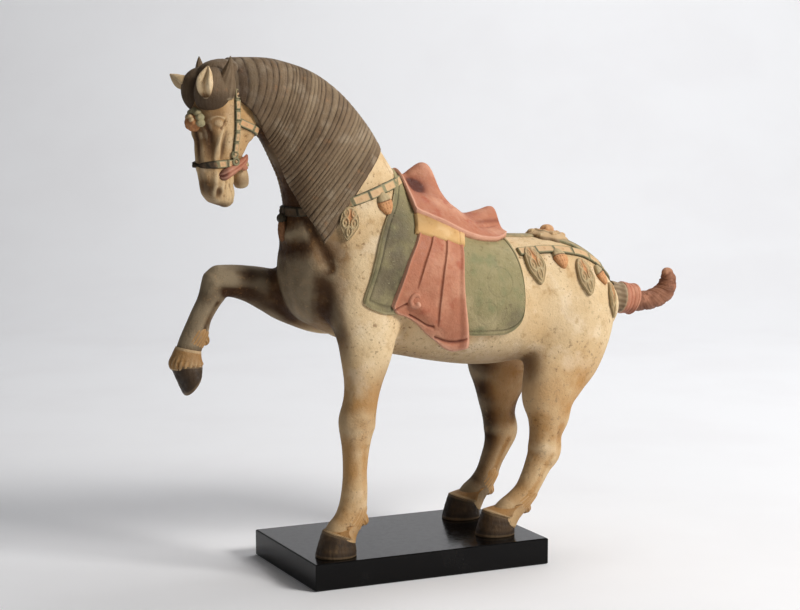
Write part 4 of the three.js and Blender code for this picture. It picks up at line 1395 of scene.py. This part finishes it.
# the front of the noseband, over the nose, is darker: painted shade
front = np.linspace(0, 1, NOSEBAND_STEPS)[:, None] + np.zeros((1, at.shape[1]))
smoked = 0.95 * rise(front, 0.2, 0.3) * rise(0.68 - front, 0, 0.05)
marks["stain_and_shade"] = np.concatenate([smoked.ravel(), np.zeros(front.size)])
bridle.append((shape, marks))
for side in (1, -1):
    cheek = [(19, -2, 92), (19.5, 16, 92), (20, 34, 92), (20, 52, 92), (20, 64, 92), (20, 74, 92)]
    at, out = on_face(turned(side, cheek), 6.5, 110)
    bridle.append(ribbon(at, out, 2.2, 11.5, 0.6, 0.1, 0.15))
    throat = [(19, 33, 92), (10, 38, 100), (0, 43, 112), (-10, 48, 130), (-16, 52, 158)]
    at, out = on_face(turned(side, throat), 8.5, 80)
    bridle.append(ribbon(at, out, 2.2, 21, 0.8, 0.4, 0.0))


RING_OVERLAP = 0.2  # radians


def ring_at(centre, radius, thick):
    """A small ring lying on the side of the head, its ends run into each other."""
    f, s, a = centre
    turn = np.linspace(0, 2 * np.pi + RING_OVERLAP, 17)
    rows = [(f + radius * np.cos(b), s, a + radius * np.sin(b), thick, thick) for b in turn]
    return head_tube(rows, 60, 16)


def knobbed(amount, count, rings=0):
    """Relief of a lump cut into rows of small knobs: that many round it, and so many up and down."""
    return lambda high, turn: amount * np.cos(count * turn) * np.cos(rings * high)


def plain_marks(shape, centre=0.0, orange=0.0, hollow=0.0, stain_and_shade=0.0, edge=0.25):
    """A shape with the same marks all over."""
    n = len(shape[0])
    values = {"centre": centre, "orange": orange, "hollow": hollow, "stain_and_shade": stain_and_shade, "edge": edge}
    return shape, {key: np.full(n, float(value)) for key, value in values.items()}


for k in (1, -1):
    for centre in ((19, 19.5 * k, 75.5), (20, 19.0 * k, 68)):
        bridle.append(plain_marks(ring_at(centre, 3.4, 1.3), stain_and_shade=0.3))
        bridle.append(plain_marks(head_pebble(centre, (1.7, 2.0, 1.7)), centre=1))


boss = head_pebble((59.5, 1, 34), (9.8, 9.8, 9.2), relief=knobbed(0.06, 7, 5))
brow = [plain_marks(boss, orange=0.8, stain_and_shade=0.35, edge=0.2)]
for angle in np.radians([-12, 22, 56, 90, 124, 158, 192]):
    spot = (57.5, 1 + 10.5 * np.cos(angle), 32 - 9.5 * np.sin(angle))
    petal = head_pebble(spot, (6.2, 4.4, 4.6), relief=lambda h, b: -0.14 * (0.5 + 0.5 * np.cos(3 * b)) ** 2)
    brow.append(plain_marks(petal, stain_and_shade=0.15, edge=0.5))
for angle in np.radians([20, 75, 130]):
    spot = (65.5, 2 + 4.6 * np.cos(angle), 32.5 - 4.6 * np.sin(angle))
    brow.append(plain_marks(head_pebble(spot, (3.2, 2.9, 2.9)), centre=0.6, orange=0.3, edge=0.6, stain_and_shade=0.1))
fitted("bridle", bridle, trim)
fitted("brow_rosette", brow, trim)



def bar_grooves(t, turn):
    """A groove along each flank of a cheekpiece."""
    upper = np.exp(-((np.angle(np.exp(1j * (turn - BAR_GROOVE))) / 0.22) ** 2))
    lower = np.exp(-((np.angle(np.exp(1j * (turn + BAR_GROOVE))) / 0.22) ** 2))
    return -0.9 * upper - 0.9 * lower


# Cheekpieces of the bit: a curved bar each side, rounded in front and drawn out to an upturned point behind.
BAR_GROOVE = 1.57  # radians round the bar from its upper edge
bars = []
for k in (1, -1):
    rows = [
        (36, 13 * k, 90.5, 3.8, 3.2), (32, 15.5 * k, 89.5, 6.0, 4.4), (26, 17 * k, 86.5, 5.6, 4.2),
        (18, 17 * k, 82.5, 5.0, 3.8), (10, 15.5 * k, 78.5, 4.8, 3.4), (4, 14.5 * k, 74, 3.8, 2.8),
        (1, 13.5 * k, 69.5, 1.4, 1.4),
    ]
    bars.append(head_tube(rows, 90, 48, (3, 1), relief=bar_grooves))
    spur = [(9, 15 * k, 80, 4, 3), (4, 14 * k, 82.5, 3.6, 3), (1, 13.5 * k, 83, 1.5, 1.5)]
    bars.append(head_tube(spur, 30, 32, (1, 1)))
bit = made("bit_cheekpieces", *weld(bars))
mark_hollows(bit, 5, 0.25)
local = from_poll(points_of(bit))
mark(bit, "stain_and_shade", 0.5 * rise(local[:, 0], 24, 33) + 0.45)
bit.data.materials.append(red)
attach(bit, "root")

# ---------------------------------------------------------------------------------------------------------
# The breast strap and crupper: flat straps round the chest and over the croup, hung with leaf pendants.
# Pressed from moulds and stuck on with slip; the leaves are scrolled in green, the buds between are orange.
# ---------------------------------------------------------------------------------------------------------


def loop(rows, path, side, steps, width, columns=11, closing=False):
    """A strap laid along a side-view path on one side of the body; closing ones end on the middle line."""
    t = np.linspace(0, 1, steps)
    line = through(path, 1 - (1 - t) ** 2 if closing else t)
    run = unit(np.gradient(line, axis=0))
    off = np.stack([-run[:, 1], run[:, 0]], 1)
    w = np.linspace(-width / 2, width / 2, columns)
    flat = line[:, None] + off[:, None] * w[None, :, None]
    return laid(rows, flat[..., 0], flat[..., 1], side)


BREAST = [(-4, 437), (-30, 431), (-61, 421), (-95, 411), (-125, 405), (-138, 404), (-142, 404)]
CRUPPER = [(124, 352), (150, 353), (176, 352.5), (196, 350), (214, 345), (236, 333), (262, 316), (288, 301)]
SPINE_STRAP = [(182, 365), (204, 357), (226, 342), (250, 323), (276, 306)]
harness = []
for side in (NEAR, FAR):
    at, out = loop(NECK, BREAST, side, 240, 10, closing=True)
    # the strap dips under the point of the mane
    at = at - out * (3.4 * rise(-at[..., :1], 80, 88) * rise(at[..., :1], -122, -114))
    shape, marks = ribbon(at, out, 2.4, 20, 0.6, 0.1)
    here = at[..., 0]
    # darker across the front of the chest: stain and painted shade, as on the chest beneath
    marks["stain_and_shade"] = np.concatenate([(0.9 * rise(-here, 96, 118)).ravel(), np.zeros(here.size)])
    harness.append((shape, marks))
    at, out = loop(TRUNK, CRUPPER, side, 170, 7.5)
    harness.append(ribbon(at, out, 2.4, 24, 0.4, 0.0))
    at, out = loop(TRUNK, SPINE_STRAP, side, 170, 5)
    shape, marks = ribbon(at, out, 2.0, 400, 0.2, 0.0, 0.1)
    marks["hollow"], marks["centre"] = marks["hollow"] * 0, marks["centre"] * 0.4
    harness.append((shape, marks))
# one plain strap along the spine joins the saddle cloth to the croup rosette
along = np.linspace(112, 178, 10)
DOWN = Vector((0, 0, -1))
ridge = [hide.ray_cast(Vector((x, 0, 480)), DOWN)[0][2] for x in along]
spine = tube([(x, 0, z, 3.4, 9) for x, z in zip(along, ridge)], 60, 40, (1, 1))
harness.append(plain_marks(spine, centre=0.3, stain_and_shade=0.2))
fitted("harness_straps", harness, trim)

# Pendants: what they lie on, x and z of the middle, half width, half drop, tilt in degrees, whether a bud.
PENDANTS = [
    (NECK, -43, 412, 8.5, 13, -14, True), (NECK, -86, 392, 10.5, 19, 8, False),
    (TRUNK, 139, 337, 12, 20, -6, False), (TRUNK, 174, 343, 9.5, 10.5, -4, True),
    (TRUNK, 201, 322, 11, 21, -6, False), (TRUNK, 226, 322, 7, 12, -16, True),
    (TRUNK, 240, 293, 7.5, 20, -12, False),
]
# The curls of a leaf: across, down and radius, as shares of its half width and half drop.
CURLS = [(-0.42, -0.05, 0.3), (0.42, -0.05, 0.3), (0, 0.45, 0.3), (-0.36, -0.62, 0.22), (0.36, -0.62, 0.22)]
LEAF_SIDES = 80


def mound(top, low, marks):
    """A boss from rings of points that widen from its middle, closed by a lower ring, with its marks."""
    points = np.vstack([top.reshape(-1, 3), low, top[0].mean(0), low.mean(0)])
    back = np.zeros(len(low) + 2)
    marks = {key: np.concatenate([value.ravel(), back]) for key, value in marks.items()}
    return (points, capped(len(top) + 1, len(low))), marks


def leaf(rows, x, z, wide, drop, tilt, bud, side):
    """A pendant: a rounded leaf with curled scrolls in relief, or a pointed bud under a small cap."""
    turn = np.linspace(0, 2 * np.pi, LEAF_SIDES, endpoint=False)[None]
    r = np.linspace(0.02, 1, 26)[:, None]
    a = r * np.sin(turn)
    b = r * -np.cos(turn)
    if bud:
        outline = 1 - 0.34 * rise(b, 0.1, 1.0) - 0.22 * rise(-b, 0.3, 1.0)
    else:
        outline = 1 - 0.42 * rise(b, -0.1, 1.0) + 0.03 * np.cos(7 * turn) * r**3
    c, s = np.cos(np.radians(tilt)), np.sin(np.radians(tilt))
    right, down = a * wide * outline, b * drop
    at, out = laid(rows, x + right * c - down * s, z - right * s - down * c, side)
    if bud:
        cap = rise(-b, 0.15, 0.3)
        seam = np.exp(-(((b + 0.22) / 0.06) ** 2))
        height = 5.2 * np.sqrt(np.clip(1 - r**2, 0, 1)) + 0.6 * np.abs(np.sin(7 * a)) * (1 - r) - 1.2 * seam
        dots = np.exp(-((np.hypot(np.sin(9 * a), np.sin(8 * b)) / 0.42) ** 2)) * (1 - cap)
        height = height - 0.5 * dots
        orange, hollow = 0.95 * (1 - cap), np.maximum(seam, dots) * 0.7
    else:
        curls = 0 * a
        for u0, v0, size in CURLS:
            gap = np.hypot(a - u0, (b - v0) * 1.05)
            curls = np.maximum(curls, np.exp(-(((gap - size) / 0.075) ** 2)))
            curls = np.maximum(curls, 0.9 * np.exp(-((gap / 0.10) ** 2)))
        curls = np.maximum(curls, np.exp(-(((r - 0.92) / 0.06) ** 2)))
        height = 3.2 * np.sqrt(np.clip(1 - r**4, 0, 1)) + 1.7 * curls * rise(1 - r, 0, 0.06) - 0.3
        orange = 0.75 * np.exp(-((np.hypot(a, b + 0.45) / 0.42) ** 2)) * (1 - 0.4 * curls) + 0.2 * (1 - curls)
        hollow = (1 - curls) * 0.2 * rise(1 - r, 0.04, 0.12)
    rim = np.exp(-(((1 - r) / 0.05) ** 2)) + 0 * a
    top = at + out * (height + 1.6 * rise(1 - r, 0, 0.1))[..., None]
    low = at[-1] - out[-1] * 2
    marks = {
        "centre": 0.45 + 0 * a, "orange": orange + 0 * a, "hollow": hollow + 0 * a, "stain_and_shade": 0.45 * rim,
        "edge": (1 - hollow) * 0.45 + 0 * a,
    }
    return mound(top, low, marks)


hung = [leaf(*row, side) for row in PENDANTS for side in (NEAR, FAR)]
# one dark bud hangs from the middle of the strap, at the front of the chest
bud = pebble((-143.5, -2, 384), (4.4, 5.6, 13.5), relief=knobbed(0.05, 9, 9))
cap = pebble((-144, -2, 396), (4.8, 6.4, 5.2), relief=knobbed(0.06, 7))
hung.append(plain_marks(bud, orange=0.7, stain_and_shade=0.6, edge=0.1))
hung.append(plain_marks(cap, stain_and_shade=0.9, edge=0.1))
fitted("pendants", hung, trim)

# The croup rosette: a low leaf-edged boss over the spine with a row of knobs along its crest.
knobs = []
turn = np.linspace(0, 2 * np.pi, 120, endpoint=False)[None]
r = np.linspace(0.02, 1, 40)[:, None]
edge = 1 + 0.06 * np.cos(8 * turn) * r**4
px, py = 188 + 25 * r * edge * np.cos(turn), 27 * r * edge * np.sin(turn)
found = [hide.ray_cast(Vector((x, y, 480)), DOWN)[0] for x, y in zip(px.ravel(), py.ravel())]
found = np.array(found).reshape(*px.shape, 3)
lobes = 0.5 + 0.5 * np.cos(8 * turn)
boss = 7.5 * np.sqrt(np.clip(1 - r**2, 0, 1)) + 1.2 * np.exp(-(((r - 0.55) / 0.05) ** 2))
boss = boss + 4 * lobes * r * (1 - r)
top = found + np.array([0, 0, 1.0]) * (boss + 0.8)[..., None]
low = found[-1] - (0, 0, 3)
ring = np.exp(-(((r - 0.62) / 0.05) ** 2)) + 0 * turn
marks = {
    "centre": 0.8 + 0 * ring, "orange": 0.45 * rise(0.6 - r, 0, 0.1) + 0 * turn, "hollow": ring * 0.5,
    "stain_and_shade": 0.15 + 0.5 * rise(r, 0.9, 1) + 0 * turn, "edge": 0.3 + 0 * ring,
}
knobs.append(mound(top, low, marks))
# The knobs: x, y, radius and how orange.
KNOBS = [
    (188, 0, 8.5, 0.9), (170, 3, 6.2, 0.3), (205, -4, 5.2, 0.5), (187, -16, 5.5, 0.4), (187, 16, 5.5, 0.4),
    (172, -14, 4.6, 0.2), (172, 14, 4.6, 0.2),
]
for x, y, size, orange in KNOBS:
    z = hide.ray_cast(Vector((x, y, 480)), DOWN)[0][2] + 8.0 - 0.012 * ((x - 188) ** 2 + y * y)
    shape = pebble((x, y, z), (size, size, size * 0.75), relief=knobbed(0.06, 6, 1))
    knobs.append(plain_marks(shape, centre=0.6, orange=orange, stain_and_shade=0.1, edge=0.6))
fitted("croup_rosette", knobs, trim)

# ---------------------------------------------------------------------------------------------------------
# The tail: bound up short. A grey collar at the dock, a wrapped red binding, then the hair twisted like rope.
# Rolled in clay and curled up at its end, the twist cut in with a tool and painted red brown.
# ---------------------------------------------------------------------------------------------------------
TAIL = [
    (255, 0, 290, 19, 19), (280, 0, 289, 18.5, 18.5), (300, 0, 286.5, 16, 16), (318, 0, 282.5, 12, 12),
    (337, 0, 285, 12, 12), (351.4, 0, 293, 12, 12), (356, 0, 306, 10, 10), (354.4, 0, 315, 7, 7),
]
COLLAR_END, BINDING_END = 0.2, 0.345


def painted_rope():
    """Red-brown paint on the twisted hair, dark between the turns and rubbed on them."""
    f = Finish("painted_rope", tint(140, 94, 70))
    f.wash(tint(108, 66, 46), f.cloud(60, 7, 0.42, 0.64, 0.8))
    f.wash(tint(168, 116, 90), f.cloud(140, 8, 0.54, 0.68, 0.7))
    f.wash(tint(48, 26, 18), f.kept("hollow", 0.9))
    f.wash(tint(192, 140, 108), f.kept("edge", 0.6))
    f.wash(tint(70, 40, 28), f.kept("stain_and_shade", 0.7))
    f.pit(f.cloud(600, 6, 0.3, 0.7), 0.4, 0.0006)
    f.shader.inputs["Specular IOR Level"].default_value = 0.28
    return f.done(0.76, 0.55)


def part_of_tail(start, stop, steps):
    return through(TAIL, np.linspace(start, stop, steps))


def twist(t, turn):
    wave = np.abs(np.sin(turn * 1.5 + 21 * t))
    fine = 0.5 + 0.5 * np.cos(6 * (turn * 1.5 + 21 * t) + 2 * turn)
    return 1.25 * (wave**0.6 - 0.75) - 0.3 * fine


rope = made("tail_twist", *tube(part_of_tail(BINDING_END - 0.03, 1, 12), 170, 100, (0, 6), relief=twist))
mark_hollows(rope, 5, 0.35)
mark(rope, "stain_and_shade", 0.5 * rise(-points_of(rope)[:, 2], -290, -272))
rope.data.materials.append(painted_rope())
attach(rope, "root")


def wraps(t, turn):
    lean = 26 * t + 1.6 * np.sin(turn + 0.6) + 0.5 * np.sin(2 * turn)
    bulge = 2.4 * np.exp(-(((t - 0.86) / 0.2) ** 2))
    turns = 0.8 * (np.abs(np.sin(lean * 0.5)) ** 0.7 - 0.6)
    return bulge + turns + 1.4 * rise(t, 0, 0.05) * rise(1 - t, 0, 0.08)


def collar_hair(t, turn):
    return 0.5 * np.sin(14 * t) - 0.35 * (0.5 + 0.5 * np.cos(17 * turn + 6 * t)) ** 3


binding = made("tail_binding", *tube(part_of_tail(COLLAR_END, BINDING_END, 8), 80, 90, relief=wraps))
mark_hollows(binding, 7, 0.3)
mark(binding, "stain_and_shade", 0.35 + 0.4 * rise(-points_of(binding)[:, 2], -284, -272))
binding.data.materials.append(red)
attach(binding, "root")

collar = made("tail_collar", *tube(part_of_tail(0.0, COLLAR_END + 0.01, 8), 50, 90, relief=collar_hair))
mark_hollows(collar, 7, 0.3)
mark(collar, "stain_and_shade", 0.35 * rise(-points_of(collar)[:, 2], -284, -272))
collar.data.materials.append(hair)
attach(collar, "root")

# ---------------------------------------------------------------------------------------------------------
# The plinth: a low block of wood in black lacquer, semi-gloss, with softened edges and faint rubbing.
# The figure stands on it on three hooves. The block keeps the shape it has in the model.
# ---------------------------------------------------------------------------------------------------------
f = Finish("black_lacquer", tint(9, 8, 8))
f.wash(tint(20, 19, 19), f.cloud(30, 6, 0.5, 0.75, 0.6))
f.wash(tint(58, 56, 54), f.both(f.cloud(420, 3, 0.73, 0.77, 0.25), f.cloud(18, 3, 0.5, 0.64)))
f.pit(f.cloud(14, 3, 0.3, 0.7), 0.03, 0.0006)
f.shader.inputs["IOR"].default_value = 1.24
lacquer = f.done(0.2, 0.11)
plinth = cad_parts["plinth"]
plinth.data.materials.clear()
plinth.data.materials.append(lacquer)

# ---------------------------------------------------------------------------------------------------------
# The studio: a pale paper sweep under soft lamps, the main one high on the right, and the camera.
# None of it is part of the figure.
# ---------------------------------------------------------------------------------------------------------
az, el = np.radians(-25.083), np.radians(6.809)
toward = Vector((np.sin(az) * np.cos(el), -np.cos(az) * np.cos(el), np.sin(el)))
rightward = Vector((np.cos(az), np.sin(az), 0))
upward = toward.cross(rightward)
camera = bpy.data.objects.new("camera", bpy.data.cameras.new("camera"))
camera.location = (-0.90238, -1.92659, 0.54742)
camera.rotation_euler = Matrix((rightward, upward, toward)).transposed().to_euler()
camera.data.lens = 85.5
camera.data.sensor_width = 36
bpy.context.scene.collection.objects.link(camera)
bpy.context.scene.camera = camera

level = Vector((toward.x, toward.y, 0)).normalized()
profile = [(d, 0.0) for d in np.linspace(3.2, -1.9, 12)]
profile += [(-1.9 - 1.5 * np.sin(b), 1.5 - 1.5 * np.cos(b)) for b in np.linspace(0.12, np.pi / 2, 14)]
profile += [(-3.4, h) for h in np.linspace(1.8, 4.5, 6)]
widths = np.linspace(-5, 5, 5)
paper = [tuple(level * d + rightward * w + Vector((0, 0, h))) for d, h in profile for w in widths]
sweep_mesh = bpy.data.meshes.new("sweep")
sweep_mesh.from_pydata(paper, [], grid_faces(len(profile), len(widths)))
sweep_mesh.polygons.foreach_set("use_smooth", np.ones(len(sweep_mesh.polygons), bool))
sweep = bpy.data.objects.new("sweep", sweep_mesh)
bpy.context.scene.collection.objects.link(sweep)
f = Finish("paper", tint(241, 242, 245))
f.wash(tint(236, 236, 239), f.cloud(3, 3, 0.4, 0.7, 0.5))
sweep_mesh.materials.append(f.done(0.95, 0.85))


def lamp(name, place, aim, size, watts, colour=(1, 1, 1)):
    """A soft square lamp, placed right, up and toward the camera, in metres."""
    light = bpy.data.lights.new(name, "AREA")
    light.shape, light.size, light.energy, light.color = "SQUARE", size, watts, colour
    holder = bpy.data.objects.new(name, light)
    at = rightward * place[0] + Vector((0, 0, place[1])) + level * place[2]
    holder.location = at
    holder.rotation_euler = (Vector(aim) - at).to_track_quat("-Z", "Y").to_euler()
    bpy.context.scene.collection.objects.link(holder)


lamp("main", (2.1, 1.75, 1.15), (0.02, 0, 0.3), 0.9, 70, (1, 0.975, 0.94))
lamp("top", (0.9, 2.6, -0.4), (0, 0, 0.2), 1.2, 12)
lamp("paper_wash", (0.9, 2.6, -1.3), tuple(level * -3.2 + rightward * 0.2 + Vector((0, 0, 0.9))), 1.6, 40)
lamp("front_fill", (-1.6, 1.2, 2.2), (0, 0, 0.3), 1.6, 0.8)
world = bpy.data.worlds.new("studio")
world.use_nodes = True
world.node_tree.nodes["Background"].inputs["Color"].default_value = (1.0, 0.99, 0.98, 1)
world.node_tree.nodes["Background"].inputs["Strength"].default_value = 0.13
bpy.context.scene.world = world
bpy.context.scene.view_settings.view_transform = "Standard"
